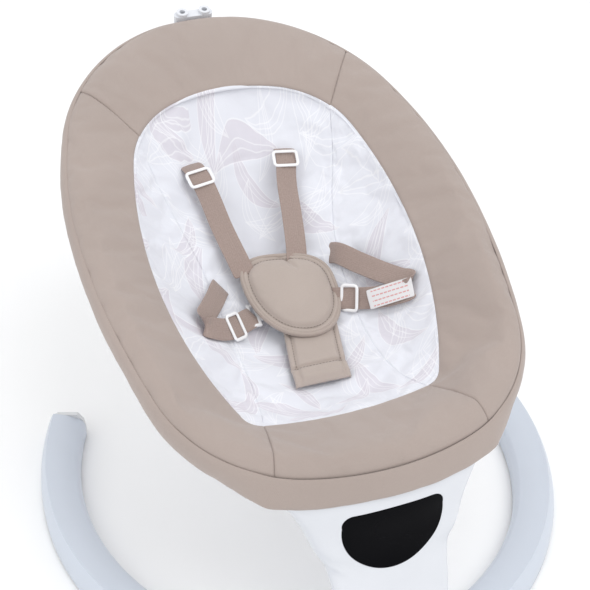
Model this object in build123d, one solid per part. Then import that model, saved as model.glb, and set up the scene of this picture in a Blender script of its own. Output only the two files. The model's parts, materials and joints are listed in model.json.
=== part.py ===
from build123d import *
import os
from math import cos, pi, radians, sin

# Baby swing: a C-shaped floor ring, a front column with the drive, a swinging carrier
# and a reclining fabric seat with a five-point harness.
# Millimetres. +X is the sitter's left, +Y is the head end, +Z is up, the floor is Z = 0.

# ---- driving dimensions ----------------------------------------------------------

# Floor ring: plan outline of its tube, and the tube's section
RING_HALF_X = 300
RING_HALF_Y = 327
RING_CENTRE_Y = -19
RING_FLOOR_GAP = 2
RING_TUBE_WIDTH = 46
RING_TUBE_TOP = 34
RING_CORNER_RADIUS = 288
RING_REAR_RADIUS = 380
RING_REAR_SWEEP = 22.8
RING_WALL = 2.6
SOCKET_WEB = 3
CORE_RADIUS = 9
TUBE_MIDDLE_Z = 17

# Foot pads: radius, and places as shares of the way from the ring's front to its tip
PAD_RADIUS = 9
PAD_PLACES = (0.30, 0.62, 0.93)

# Seat rim plane: where it stands and how far it leans back
SEAT_ORIGIN = (0, 8, 325)
SEAT_LEAN = 18.47

# Swing axis, through this point of the column's top and leaning back from the vertical
SWING_POINT = (0, -228, 165)
SWING_LEAN = 35.0

# Recline axis, along X
RECLINE_Y = -232
RECLINE_Z = 195

# Outlines of the seat in its rim plane: half width, middle, and for the head and the foot
# the half length, the turn at which the end arc and the corner arc stop, and the corner radius
RIM = dict(half_width=217, middle=20, head=(322, 41, 73, 233), foot=(322, 16, 75, 155))
BORDER = dict(half_width=148, middle=2, head=(224, 16, 75, 114), foot=(226, 41, 74, 150))
WAIST = dict(half_width=118, middle=-6, head=(188, 20, 72, 95), foot=(186, 35, 72, 100))
HIP = dict(half_width=82, middle=-35, head=(130, 35, 70, 75), foot=(130, 35, 70, 75))
FLOOR = dict(half_width=58, middle=-50, head=(78, 40, 68, 60), foot=(84, 40, 68, 60))

# The border lies nearly level over the frame tube up to this far inside the rim
DRAPE_INSET = 26
DRAPE_DEPTH = -2

# Depth of each outline under the rim plane, and its own lean against that plane
BORDER_LEVEL = (BORDER, -25, 6.1)
WAIST_LEVEL = (WAIST, -62, 3.0)
HIP_LEVEL = (HIP, -95, 0.0)
FLOOR_LEVEL = (FLOOR, -112, 0.0)
FABRIC = 6
HEM_DEPTH = 24
HEM_WALL = 3

# Seat frame tube, under the fabric's outer edge
FRAME_RADIUS = 10
FRAME_INSET = 14
FRAME_DEPTH = -18.5

# Where the cover's four border panels meet: inner and outer end of each seam
HEAD_SEAM = ((122, 183), (159, 244))
FOOT_SEAM = ((89, -206), (112, -289))
SEAM_GAP = 0.2

# Harness
WEBBING = 25
WEBBING_THICK = 1.6
SLOT_X = 58
SLOT_S = 150
PAD_HALF_WIDTH = 58
PAD_S = (-86, 14)
PAD_TURN = -9
PAD_SHIFT = 5

CLEAR = 0.3
RUNNING_FIT = 0.05

# Half size of the blocks that cut a piece in two, well past the whole swing
BEYOND = 500


# ---- shared frames and helpers ---------------------------------------------------

SEAT = Plane(
    origin=SEAT_ORIGIN,
    x_dir=(1, 0, 0),
    z_dir=(0, -sin(radians(SEAT_LEAN)), cos(radians(SEAT_LEAN))),
)
SWING = Plane(
    origin=SWING_POINT,
    x_dir=(1, 0, 0),
    z_dir=(0, sin(radians(SWING_LEAN)), cos(radians(SWING_LEAN))),
)


def save(name, shape):
    """Write one sub-part to its own file."""
    export_step(shape, f"parts/{name}.step")


def on_seat(shape):
    """Move a shape built in rim-plane coordinates (x, s, height) to its real place."""
    return SEAT.location * shape


def on_swing(shape):
    """Move a shape built about the swing axis to its real place."""
    return SWING.location * shape


def mirrored(shape):
    """The same piece on the other side of the middle plane."""
    return mirror(shape, about=Plane.YZ)


def block(x, y, z):
    """A box from the lowest and highest value on each axis."""
    size = (x[1] - x[0], y[1] - y[0], z[1] - z[0])
    middle = ((x[0] + x[1]) / 2, (y[0] + y[1]) / 2, (z[0] + z[1]) / 2)
    return Pos(*middle) * Box(*size)


def rounded_block(x, y, z, radius):
    """A box with rounded upright edges."""
    sketch = RectangleRounded(x[1] - x[0], y[1] - y[0], radius)
    middle = Pos((x[0] + x[1]) / 2, (y[0] + y[1]) / 2, z[0])
    return middle * extrude(sketch, z[1] - z[0])


def cylinder_between(radius, low, high):
    """A cylinder about the local Z axis from one height to another."""
    on_base = (Align.CENTER, Align.CENTER, Align.MIN)
    return Pos(0, 0, low) * Cylinder(radius, high - low, align=on_base)


def end_radii(half_width, half_length, stops, corner_radius):
    """Radii of the end arc and the side arc of a three-arc quarter."""
    a, b = radians(stops[0]), radians(stops[1])
    width_left = half_width - corner_radius * (sin(b) - sin(a))
    length_left = half_length - corner_radius * (cos(a) - cos(b))
    scale = sin(a) * cos(b) - (1 - sin(b)) * (1 - cos(a))
    end = (width_left * cos(b) - length_left * (1 - sin(b))) / scale
    side = (length_left * sin(a) - width_left * (1 - cos(a))) / scale
    return end, side


def chain(start, heading, arcs):
    """Tangent arcs one after another, each given as (radius, sweep in degrees)."""
    edges = []
    for radius, sweep in arcs:
        edge = JernArc(start=start, tangent=heading, radius=radius, arc_size=sweep)
        start, heading = edge @ 1, edge % 1
        edges.append(edge)
    return Wire(edges)


def oval(outline, inset=0.0):
    """Closed outline of twelve tangent arcs in the XY plane, head end towards +Y."""
    half_width = outline["half_width"]
    quarters = []
    for end_name in ("head", "foot"):
        half_length, first, second, corner = outline[end_name]
        end, side = end_radii(half_width, half_length, (first, second), corner)
        quarters.append(
            [(end - inset, first), (corner - inset, second - first), (side - inset, 90 - second)]
        )
    head, foot = quarters
    arcs = head + foot[::-1] + foot + head[::-1]
    top = outline["middle"] + outline["head"][0] - inset
    return chain((0, top), (-1, 0), arcs)


def oval_face(outline, height, inset=0.0, lean=0.0):
    """The outline as a face at a height over the rim plane, leaning about X."""
    return Pos(0, 0, height) * Rot(lean, 0, 0) * make_face(oval(outline, inset))


def level_face(level, grow=0.0, drop=0.0):
    """One level of the seat's bowl, grown outwards and lowered."""
    outline, height, lean = level
    return oval_face(outline, height - drop, -grow, lean)


def prism(outline, low, high, inset=0.0):
    """Straight solid between two heights over the rim plane."""
    return extrude(oval_face(outline, low, inset), high - low, dir=(0, 0, 1))


# ---- floor ring ------------------------------------------------------------------

def ring_arcs(inset):
    """Half of the ring's plan line from the front round to its tip."""
    half_x = RING_HALF_X - inset
    half_y = RING_HALF_Y - inset
    corner = RING_CORNER_RADIUS + RING_TUBE_WIDTH / 2 - inset
    front, side = end_radii(half_x, half_y, (30, 60), corner)
    rear = RING_REAR_RADIUS + RING_TUBE_WIDTH / 2 - inset
    return [(front, 30), (corner, 30), (side, 30), (rear, RING_REAR_SWEEP)]


def ring_path(inset):
    """Right half of the plan line at a distance inside the ring's outer edge."""
    front = (0, RING_CENTRE_Y - RING_HALF_Y + inset, 0)
    return chain(front, (1, 0, 0), ring_arcs(inset))


def ring_section(shrink=0.0, floor=RING_FLOOR_GAP):
    """Section of the ring's tube at its front, in the YZ plane, inner edge towards +Y."""
    outer = RING_CENTRE_Y - RING_HALF_Y + shrink
    inner = RING_CENTRE_Y - RING_HALF_Y + RING_TUBE_WIDTH - shrink
    ridge = (outer + 8, RING_TUBE_TOP - shrink)
    shoulder = (inner - 6, RING_TUBE_TOP - 8 - shrink)
    outer_wall = Line((outer, floor), (outer, 12))
    outer_curve = ThreePointArc((outer, 12), (outer + 2.4, RING_TUBE_TOP - 11), ridge)
    top = ThreePointArc(ridge, ((outer + inner) / 2, RING_TUBE_TOP - 1.6 - shrink), shoulder)
    inner_curve = ThreePointArc(shoulder, (inner - 1.6, RING_TUBE_TOP - 12.5), (inner, 15))
    inner_wall = Line((inner, 15), (inner, floor))
    bottom = Line((inner, floor), (outer, floor))
    return Plane.YZ * make_face([outer_wall, outer_curve, top, inner_curve, inner_wall, bottom])


def ring_sweep(section, inset):
    """A section carried round the right half of the ring."""
    return sweep(section, path=ring_path(inset))


def ring_middle_inset():
    return RING_TUBE_WIDTH / 2


def tube_line(radius):
    """A round bar along the middle of the ring's tube."""
    inset = ring_middle_inset()
    at_front = Plane(origin=(0, RING_CENTRE_Y - RING_HALF_Y + inset, TUBE_MIDDLE_Z), z_dir=(1, 0, 0))
    path = Pos(0, 0, TUBE_MIDDLE_Z) * ring_path(inset)
    return sweep(at_front * Circle(radius), path=path)


def make_floor_shell():
    """Right-hand plastic cover of the ring, open below."""
    inset = ring_middle_inset()
    outer = ring_sweep(ring_section(), inset)
    inner = ring_sweep(ring_section(RING_WALL, RING_FLOOR_GAP - 1), inset)
    return outer - inner - column_body(grow=2 * CLEAR)


def make_floor_base():
    """Closing strip in the bottom of the right-hand cover."""
    inset = ring_middle_inset()
    front = RING_CENTRE_Y - RING_HALF_Y
    side = RING_WALL + CLEAR
    low, high = RING_FLOOR_GAP + 0.5, RING_FLOOR_GAP + 2.7
    strip = Plane.YZ * make_face(
        Polyline(
            (front + side, low),
            (front + RING_TUBE_WIDTH - side, low),
            (front + RING_TUBE_WIDTH - side, high),
            (front + side, high),
            close=True,
        )
    )
    return ring_sweep(strip, inset) - column_body(grow=2 * CLEAR)


def ring_tip():
    """Frame at the right-hand tip of the ring, Z along the tube, out of its end."""
    path = ring_path(ring_middle_inset())
    return Plane(origin=path @ 1, x_dir=(0, 0, 1), z_dir=path % 1)


def make_end_cap():
    """Plug in the right-hand tip: a bevelled face plate and a spigot."""
    tip = ring_tip()
    half = RING_TUBE_WIDTH / 2
    low, high = RING_FLOOR_GAP, RING_TUBE_TOP - 1
    outline = make_face(
        Polyline(
            (low, -half + 0.6), (low, half - 0.6), (15, half - 0.6), (high - 7, half - 4),
            (high - 1, half - 12), (high, -half + 9), (high - 9, -half + 2.4), (12, -half + 0.6),
            close=True,
        )
    )
    plate = extrude(outline, 7)
    plate = chamfer(plate.faces().sort_by(Axis.Z)[-1].edges(), 1.6)
    plate = Pos(0, 0, CLEAR) * plate
    spigot = block((8, 24), (-12.5, 12.5), (-18, CLEAR))
    bore = Pos(TUBE_MIDDLE_Z, 0, 0) * cylinder_between(CORE_RADIUS + 0.9, -18.5, 0.1)
    return tip.location * (plate + spigot - bore)


def make_foot_pads():
    """Rubber pads under the ring."""
    pads = []
    path = ring_path(ring_middle_inset())
    for place in PAD_PLACES:
        spot = path @ place
        pads.append(Pos(spot.X, spot.Y, 0) * cylinder_between(PAD_RADIUS, 0, RING_FLOOR_GAP + 0.5))
    pads += [mirrored(pad) for pad in pads]
    return Compound(children=pads)


# ---- column ----------------------------------------------------------------------

# Level sections up the column: height, then front, widest and rear Y, and half width
COLUMN_SECTIONS = (
    (0.5, -350, -319, -283, 60),
    (20, -349, -320, -283, 57),
    (45, -336, -311, -270, 54.5),
    (70, -316, -303, -258, 56.5),
    (96, -300, -290, -243, 60),
    (123, -291, -281, -202, 65.5),
    (147, -288, -277, -164, 75),
    (168, -287, -264, -141, 86),
    (183, -286, -256, -125, 95),
    (200, -283, -246, -106, 107),
    (215, -279, -237, -90, 120),
)
COLUMN_SQUARENESS = 2.4
COLUMN_POINTS = 16
COLUMN_WALL = 3
COLUMN_DECK = -3
COLLAR_MIDDLE = 1.5
COLLAR_RADIUS = 760
SPLIT_LOW = (0, -318, 0)
SPLIT_HIGH = (0, -245, 183)
SPLIT_GAP = 0.1


def level_section(height, front, widest, rear, half_width, inset):
    """One level section of the column, squarer than an ellipse."""
    power = 2 / COLUMN_SQUARENESS
    points = []
    for step in range(COLUMN_POINTS):
        turn = 2 * pi * step / COLUMN_POINTS
        across, along = cos(turn), sin(turn)
        reach = (widest - front if along < 0 else rear - widest) - inset
        x = (half_width - inset) * abs(across) ** power * (1 if across > 0 else -1)
        y = widest + reach * abs(along) ** power * (1 if along > 0 else -1)
        points.append((x, y))
    return Pos(0, 0, height) * make_face(Spline(points, periodic=True))


def column_form(inset=0.0):
    """The column's form before its top is cut, larger where the inset is negative."""
    return loft([level_section(*section, inset) for section in COLUMN_SECTIONS])


def above_deck(height):
    """Everything above a plane across the swing axis."""
    return on_swing(block((-BEYOND, BEYOND), (-BEYOND, BEYOND), (height, height + BEYOND)))


def above_collar():
    """Everything above the collar's saddle-shaped edge."""
    middle = COLLAR_MIDDLE + COLLAR_RADIUS
    return on_swing(Pos(0, 0, middle) * Rot(90, 0, 0) * Cylinder(COLLAR_RADIUS, 2 * BEYOND))


def column_body(grow=0.0):
    """The column's outer form up to its collar."""
    return column_form(-grow) - above_collar()


def split_plane():
    """Plane between the front and the rear half of the column."""
    low, high = Vector(*SPLIT_LOW), Vector(*SPLIT_HIGH)
    return Plane(origin=low, x_dir=(1, 0, 0), z_dir=Vector(1, 0, 0).cross(high - low))


def make_column_shells():
    """Hollow front and rear shells with the ring's tubes passing through their sides."""
    inside = column_form(COLUMN_WALL)
    deck = above_deck(COLUMN_DECK - COLUMN_WALL) - above_deck(COLUMN_DECK)
    hollow = column_body() - (inside - deck)
    passage = tube_line(CORE_RADIUS + 0.5)
    hollow = hollow - passage - mirrored(passage)
    hollow = hollow - hinge_opening()
    across = (-BEYOND, BEYOND)
    halves = []
    for side in ((SPLIT_GAP, BEYOND), (-BEYOND, -SPLIT_GAP)):
        halves.append(hollow & (split_plane().location * block(across, across, side)))
    halves.sort(key=lambda half: half.center().Y)
    return halves[0] - display_recess(), halves[1] - inlet_opening()


def make_tube_socket():
    """Block in the column's foot that both ring tubes are bolted into."""
    front = RING_CENTRE_Y - RING_HALF_Y
    body = rounded_block((-40, 40), (front + 12, front + 44), (4.5, 29), 5)
    passage = tube_line(CORE_RADIUS + RUNNING_FIT)
    web = block((-SOCKET_WEB, SOCKET_WEB), (front + 14, front + 42), (6, 27))
    return body - passage - mirrored(passage) + web


def make_core_tube():
    """Right-hand steel tube inside the ring."""
    tube = tube_line(CORE_RADIUS) - tube_line(CORE_RADIUS - 1.5)
    return tube - block((-5, SOCKET_WEB + 0.2), (-BEYOND, 0), (0, RING_TUBE_TOP))


# Display: half-moon window in the column's face
DISPLAY_HALF_WIDTH = 52
DISPLAY_TOP_Z = 184
DISPLAY_BOTTOM_Z = 111
DISPLAY_FACE_Y = -287
BOARD_THICK = 1.6
CONTROL_BOARD_Y = -274
SPEAKER_PLACE = (0, -288, 54)


def display_outline(inset):
    """Half-moon, straight on top with rounded corners, seen from the front (x, z)."""
    half = DISPLAY_HALF_WIDTH - inset
    top = DISPLAY_TOP_Z - inset
    bottom = DISPLAY_BOTTOM_Z + inset
    corner = 11
    upper = Line((-half + corner, top), (half - corner, top))
    right = ThreePointArc((half - corner, top), (half - 2.2, top - 4.5), (half, top - corner - 3))
    lower = ThreePointArc((half, top - corner - 3), (0, bottom), (-half, top - corner - 3))
    left = ThreePointArc((-half, top - corner - 3), (-half + 2.2, top - 4.5), (-half + corner, top))
    return make_face([upper, right, lower, left])


def display_prism(inset, near, far):
    """The half-moon carried from one Y to another."""
    front = Plane(origin=(0, near, 0), x_dir=(1, 0, 0), z_dir=(0, -1, 0))
    return extrude(front * display_outline(inset), -(far - near))


def display_recess():
    return display_prism(-0.2, DISPLAY_FACE_Y - 20, DISPLAY_FACE_Y + 8)


def make_display_lens():
    """Glossy dark window that follows the column's face."""
    return display_prism(0.1, DISPLAY_FACE_Y - 20, DISPLAY_FACE_Y + 7) & column_body(grow=0.3)


def make_display_board():
    """Circuit board with its lamp segments behind the window."""
    front = DISPLAY_FACE_Y + 9
    board = block((-44, 44), (front, front + BOARD_THICK), (128, 178))
    for x in (-22, -10, 2, 14):
        board += block((x, x + 8), (front - 0.8, front), (150, 164))
    return board


def make_control_board():
    """Main circuit board, upright in the column's lower half."""
    rear = CONTROL_BOARD_Y + BOARD_THICK
    board = block((-36, 36), (CONTROL_BOARD_Y, rear), (72, 104))
    for x in (-26, -8, 12):
        board += block((x, x + 12), (rear, rear + 4.4), (76, 90))
    return board


def make_speaker():
    """Small speaker behind the rear shell."""
    at = Plane(origin=SPEAKER_PLACE, x_dir=(1, 0, 0), z_dir=(0, 1, 0))
    cone = Cylinder(16, 9) + Pos(0, 0, -7) * Cylinder(9, 6)
    return at.location * cone


INLET_Z = 30


def inlet_opening():
    return Pos(0, -270, INLET_Z) * Rot(90, 0, 0) * Cylinder(6.2, 40)


def make_power_inlet():
    """Socket for the low-voltage supply, low in the rear shell."""
    at = Pos(0, -296, INLET_Z) * Rot(-90, 0, 0)
    body = cylinder_between(6, 0, 22)
    bore = cylinder_between(2.8, 8, 28)
    contact = cylinder_between(0.9, 7, 18)
    return at * (body - bore + contact)


# ---- swing hinge and drive -------------------------------------------------------

SHAFT_RADIUS = 8
HOUSING_RADIUS = 20
HOUSING_LENGTH = 52
HUB_RADIUS = 45
HUB_HEIGHT = 17
BEARING_RADIUS = 15
BUTTON_RADIUS = 6
SCREW_RADIUS = 1.6
SCREW_PLACES = ((-25, 0), (25, 0), (0, -25), (0, 25))


def hinge_opening():
    return on_swing(cylinder_between(HOUSING_RADIUS + 0.2, -12, 5))


def make_hinge_housing():
    """Fixed bearing housing under the column's top."""
    low = -HOUSING_LENGTH
    body = cylinder_between(HOUSING_RADIUS, low, -3.4) + cylinder_between(30, -12, -6.6)
    bore = cylinder_between(SHAFT_RADIUS + 1, low - 1, 0)
    seats = cylinder_between(BEARING_RADIUS, low - 1, low + 8) + cylinder_between(BEARING_RADIUS, -11, 0)
    for x, y in SCREW_PLACES:
        body -= Pos(x, y, 0) * cylinder_between(SCREW_RADIUS + RUNNING_FIT, -13, -6)
    return on_swing(body - bore - seats)


def make_bearing(low):
    """Plain bearing ring round the swing shaft."""
    ring = cylinder_between(BEARING_RADIUS, low, low + 7)
    bore = cylinder_between(SHAFT_RADIUS + RUNNING_FIT, low - 1, low + 8)
    return on_swing(ring - bore)


def make_swing_shaft():
    """Hollow shaft from the hub down through both bearings, with a groove for its clip."""
    low = -HOUSING_LENGTH - 7
    shaft = cylinder_between(SHAFT_RADIUS, low, 10) - cylinder_between(4, low - 1, 6)
    groove = cylinder_between(SHAFT_RADIUS + 1, low + 2, low + 3.6)
    groove -= cylinder_between(SHAFT_RADIUS - 1, low + 1, low + 5)
    return on_swing(shaft - groove)


def make_shaft_clip():
    """Retaining clip in the shaft's groove."""
    low = -HOUSING_LENGTH - 5 + 0.1
    ring = cylinder_between(12, low, low + 1.4) - cylinder_between(SHAFT_RADIUS - 0.95, low - 1, low + 2)
    gap = block((-5, 5), (0, 14), (low - 1, low + 2))
    return on_swing(ring - gap)


def make_carrier_hub():
    """Turning hub on the column's top, with the socket of its recline button behind."""
    hub = cylinder_between(HUB_RADIUS, 0, HUB_HEIGHT)
    hub = fillet(hub.edges().group_by(Axis.Z)[-1], 4)
    hub -= cylinder_between(SHAFT_RADIUS, -1, 10)
    socket = Pos(0, HUB_RADIUS + 4, HUB_HEIGHT / 2) * Rot(90, 0, 0)
    hub -= socket * cylinder_between(BUTTON_RADIUS + RUNNING_FIT, 0, 20)
    hub -= magnet_pocket(0.1)
    return on_swing(hub)


MAGNET_X = 33
COIL_X = 46


def magnet_pocket(grow):
    return block((MAGNET_X - 7 - grow, MAGNET_X + 7 + grow), (-9 - grow, 9 + grow), (-1, 7 + grow))


def make_drive_magnet():
    """Permanent magnet in the hub's underside, over the drive coil."""
    return on_swing(block((MAGNET_X - 7, MAGNET_X + 7), (-9, 9), (0.5, 7)))


def make_drive_coil():
    """Copper winding under the column's top, beside the hinge housing."""
    coil = cylinder_between(13, -22, -8) - cylinder_between(5, -23, -7)
    return on_swing(Pos(COIL_X, 0, 0) * coil)


def make_coil_bobbin():
    """Plastic core and lower flange of the drive coil."""
    core = cylinder_between(4.7, -23, -7.5) + cylinder_between(14, -24, -22.2)
    return on_swing(Pos(COIL_X, 0, 0) * core)


def recline_in_swing():
    """The recline axis in the swing frame: distance behind it and height along it."""
    offset = SWING.to_local_coords(Vector(0, RECLINE_Y, RECLINE_Z))
    return offset.Y, offset.Z


BEAM_HALF = 92


def make_carrier_beam():
    """Cross beam on the hub, holding a recline pin at each end."""
    behind, height = recline_in_swing()
    low = HUB_HEIGHT
    beam = block((-BEAM_HALF, BEAM_HALF), (behind - 11, behind + 11), (low, height + 6))
    beam = fillet(beam.edges().filter_by(Axis.X).group_by(Axis.Z)[-1], 3.5)
    bore = Pos(0, behind, height) * Rot(0, 90, 0) * Cylinder(PIN_RADIUS, 2 * BEAM_HALF + 2)
    core = Pos(0, behind, height) * Rot(0, 90, 0) * Cylinder(PIN_RADIUS + 1, 2 * (BEAM_HALF - 22))
    return on_swing(beam - bore + core)


PIN_RADIUS = 3.5
PLATE_X = (BEAM_HALF + 1, BEAM_HALF + 6)


def make_recline_pins():
    """Two headed pins that the seat tilts on."""
    pins = []
    start = BEAM_HALF - 21.9
    for side in (1, -1):
        pin = Pos(start, 0, 0) * Rot(0, 90, 0) * cylinder_between(PIN_RADIUS, 0, PLATE_X[1] + 1 - start)
        head = Pos(PLATE_X[1] + 0.5, 0, 0) * Rot(0, 90, 0) * cylinder_between(7, 0, 3)
        piece = Pos(0, RECLINE_Y, RECLINE_Z) * (pin + head)
        pins.append(piece if side == 1 else mirrored(piece))
    return Compound(children=pins)


def make_recline_button():
    """Push button in the back of the hub that frees the recline."""
    at = Pos(0, HUB_RADIUS + 4, HUB_HEIGHT / 2) * Rot(90, 0, 0)
    return on_swing(at * cylinder_between(BUTTON_RADIUS, 0, 13))


# ---- seat frame ------------------------------------------------------------------

def frame_line(radius):
    """Closed bar round the whole seat frame, in rim-plane coordinates."""
    path = Pos(0, 0, FRAME_DEPTH) * oval(RIM, FRAME_INSET)
    start = path @ 0
    section = Plane(origin=start, z_dir=path % 0) * Circle(radius)
    return sweep(section, path=path)


# Where the frame's two tubes meet, and where the hinge plates reach the tube
JOINT_S = RIM["middle"]
PLATE_TOP_S = -268


def make_frame_tubes():
    """Head and foot half of the seat's tube, with a gap for the sleeves' spigots."""
    tube = frame_line(FRAME_RADIUS) - frame_line(FRAME_RADIUS - 1.5)
    across = (-BEYOND, BEYOND)
    head = tube & block(across, (JOINT_S + 0.5, BEYOND), across)
    foot = tube & block(across, (-BEYOND, JOINT_S - 0.5), across)
    return on_seat(head), on_seat(foot)


def make_frame_spigots():
    """Plugs inside the two joints of the seat's tube."""
    plugs = []
    x = RIM["half_width"] - FRAME_INSET
    for side in (-1, 1):
        plug = Rot(90, 0, 0) * Cylinder(FRAME_RADIUS - 2.0, 44)
        plugs.append(Pos(side * x, JOINT_S, FRAME_DEPTH) * plug)
    return on_seat(Compound(children=plugs))


def make_hinge_plate():
    """Right-hand plate from the recline pin up to the seat's tube."""
    near, far = PLATE_X
    pivot = SEAT.to_local_coords(Vector(0, RECLINE_Y, RECLINE_Z))
    middle = ((pivot.Y + PLATE_TOP_S) / 2, (pivot.Z + FRAME_DEPTH) / 2)
    link = SlotCenterPoint(middle, (PLATE_TOP_S, FRAME_DEPTH), 20)
    boss = Pos(pivot.Y, pivot.Z) * Circle(11)
    side = Plane(origin=(near, 0, 0), x_dir=(0, 1, 0), z_dir=(1, 0, 0))
    plate = extrude(side * (link + boss), far - near)
    through = cylinder_between(PIN_RADIUS + RUNNING_FIT, -1, far - near + 1)
    bore = Pos(near, pivot.Y, pivot.Z) * Rot(0, 90, 0) * through
    above_fabric = prism(RIM, -HEM_DEPTH, FABRIC) & border_cone(-FABRIC - CLEAR)
    return on_seat(plate - bore - frame_line(FRAME_RADIUS + RUNNING_FIT) - above_fabric)


# ---- cover: border panels and bowl -----------------------------------------------

def border_cone(height):
    """Solid under the border's sloping face: level over the tube, then down to the bowl."""
    drape = oval_face(RIM, DRAPE_DEPTH + height, DRAPE_INSET)
    return loft([oval_face(RIM, height), drape, level_face(BORDER_LEVEL, drop=-height)], ruled=True)


def border_cover():
    """The whole padded border: sloping sheet over the tube, and the hem round its edge."""
    tall = RIM["half_width"]
    above = border_cone(0)
    below = border_cone(-FABRIC) + prism(RIM, -FABRIC, 0)
    hole = extrude(level_face(BORDER_LEVEL, drop=tall), 2 * tall, dir=(0, 0, 1))
    sheet = below - above - hole
    hem = prism(RIM, -HEM_DEPTH, -FABRIC / 2) - prism(RIM, -HEM_DEPTH - 1, 0, HEM_WALL)
    return sheet + hem - bracket_notch() - frame_line(FRAME_RADIUS + CLEAR)


def seam_point(seam, reach):
    """A point on the line of a seam, past its outer end by a share of its length."""
    (x1, s1), (x2, s2) = seam
    return x1 + (x2 - x1) * reach, s1 + (s2 - s1) * reach


def wedge(seam_a, seam_b):
    """Four-sided prism between two seams, from inside the border to far outside it."""
    inner_a, inner_b = seam_point(seam_a, -1), seam_point(seam_b, -1)
    outer_a, outer_b = seam_point(seam_a, 6), seam_point(seam_b, 6)
    face = make_face(Polyline(inner_a, outer_a, outer_b, inner_b, close=True))
    return extrude(face, BEYOND, both=True)


def across(seam):
    """The same seam on the other side of the middle line."""
    return tuple((-x, s) for x, s in seam)


def moved(seam, x, s):
    """The same seam, moved in the rim plane."""
    return tuple((point[0] + x, point[1] + s) for point in seam)


def make_borders():
    """Head, right, left and foot panels, a hair apart along their seams."""
    cover = border_cover()
    head = cover & wedge(across(HEAD_SEAM), HEAD_SEAM)
    foot = cover & wedge(across(FOOT_SEAM), FOOT_SEAM)
    side = wedge(moved(HEAD_SEAM, SEAM_GAP, -SEAM_GAP), moved(FOOT_SEAM, SEAM_GAP, SEAM_GAP))
    right = cover & side & block((SEAM_GAP, BEYOND), (-BEYOND, BEYOND), (-BEYOND, BEYOND))
    return on_seat(head), on_seat(mirrored(right)), on_seat(right), on_seat(foot)


def make_liner():
    """The bowl the child lies in, hung inside the border."""
    levels = (BORDER_LEVEL, WAIST_LEVEL, HIP_LEVEL, FLOOR_LEVEL)
    edge = -0.5
    inner = loft([level_face(level, grow=edge - FABRIC) for level in levels], ruled=True)
    outer = loft([level_face(level, grow=edge, drop=FABRIC) for level in levels], ruled=True)
    outer += extrude(level_face(BORDER_LEVEL, grow=edge, drop=FABRIC), FABRIC, dir=(0, 0, 1))
    return on_seat(outer - inner)


# ---- harness ---------------------------------------------------------------------

def strap_between(start, end, width_along=(1, 0, 0)):
    """A flat length of webbing from one point to another, in rim-plane coordinates."""
    start, end = Vector(*start), Vector(*end)
    along = end - start
    side = Vector(*width_along)
    square = side - along * (side.dot(along) / along.dot(along))
    frame = Plane(origin=start, x_dir=square, z_dir=along)
    return frame.location * extrude(Rectangle(WEBBING, WEBBING_THICK), along.length)


SHOULDER_TOP = (SLOT_X, SLOT_S, -49)
SHOULDER_END = (38, 18, -86)
SHOULDER_SLIDE_SHARE = 0.12


def make_shoulder_strap():
    """Right-hand shoulder strap from its slot down to the buckle."""
    return on_seat(strap_between(SHOULDER_TOP, SHOULDER_END))


def point_along(start, end, share):
    """The point at a share of the way from one point to another."""
    return tuple(a + (b - a) * share for a, b in zip(start, end))


def make_shoulder_slide():
    """Slide near the top of the right-hand shoulder strap."""
    place = Vector(*point_along(SHOULDER_TOP, SHOULDER_END, SHOULDER_SLIDE_SHARE))
    along = Vector(*SHOULDER_END) - Vector(*SHOULDER_TOP)
    normal = upward_normal(along, Vector(1, 0, 0))
    return on_seat(three_bar_slide(Plane(origin=place, x_dir=along, z_dir=normal)))


def upward_normal(along, width_along):
    """Upward normal of a strap from its length and width directions."""
    normal = width_along.cross(along)
    return normal if normal.Z > 0 else normal * -1


WAIST_SLOT = (75, -10, -65)
WAIST_FOLD = (93, -58, -65)
WAIST_TURN = (99, -62, -64)
WAIST_END = (47, -62, -98)
WAIST_SLIDE_SHARE = 0.55

TAG_PLACE = (106, -84, -52)
TAG_ALONG = (34, -21, 23)
TAG_UPWARD = (12, 24, 8)
TAG_SIZE = (40, 22, 0.8)


def make_waist_strap():
    """Right-hand waist strap: out of its slot, folded back through its slide to the buckle."""
    outward = strap_between(WAIST_SLOT, WAIST_FOLD, width_along=(1, 0.5, 0))
    inward = strap_between(WAIST_TURN, WAIST_END, width_along=(0, 1, 0))
    return on_seat(outward + inward)


def three_bar_slide(frame):
    """Slide lying on a strap: a flat frame with two slots, X along the strap."""
    body = RectangleRounded(18, WEBBING + 8, 3)
    for x in (-4.2, 4.2):
        body -= Pos(x, 0) * Rectangle(4, WEBBING + 1)
    return frame.location * Pos(0, 0, WEBBING_THICK / 2 + CLEAR) * extrude(body, 2.2)


def make_waist_slide():
    """Slide on the right-hand waist strap."""
    place = Vector(*point_along(WAIST_TURN, WAIST_END, WAIST_SLIDE_SHARE))
    along = Vector(*WAIST_TURN) - Vector(*WAIST_END)
    normal = upward_normal(along, Vector(0, 1, 0))
    return on_seat(three_bar_slide(Plane(origin=place, x_dir=along, z_dir=normal)))


BUCKLE_TOP = -97
BUCKLE_S = -36
BUTTON_HALF = 8


def make_buckle_pad():
    """Soft five-sided pad over the buckle."""
    low, high = PAD_S
    half = PAD_HALF_WIDTH
    outline = FilletPolyline(
        (-half, high - 22), (-half + 8, high - 2), (half - 8, high - 2), (half, high - 22),
        (half - 14, low + 18), (20, low), (-20, low), (-half + 14, low + 18),
        radius=11, close=True,
    )
    pad = extrude(make_face(outline), 9)
    pad = fillet(pad.edges().group_by(Axis.Z)[-1], 3)
    middle = (low + high) / 2
    turned = Pos(PAD_SHIFT, middle, 0) * Rot(0, 0, PAD_TURN) * Pos(0, -middle, 0) * pad
    return on_seat(Pos(0, 0, BUCKLE_TOP + 8) * turned)


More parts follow.
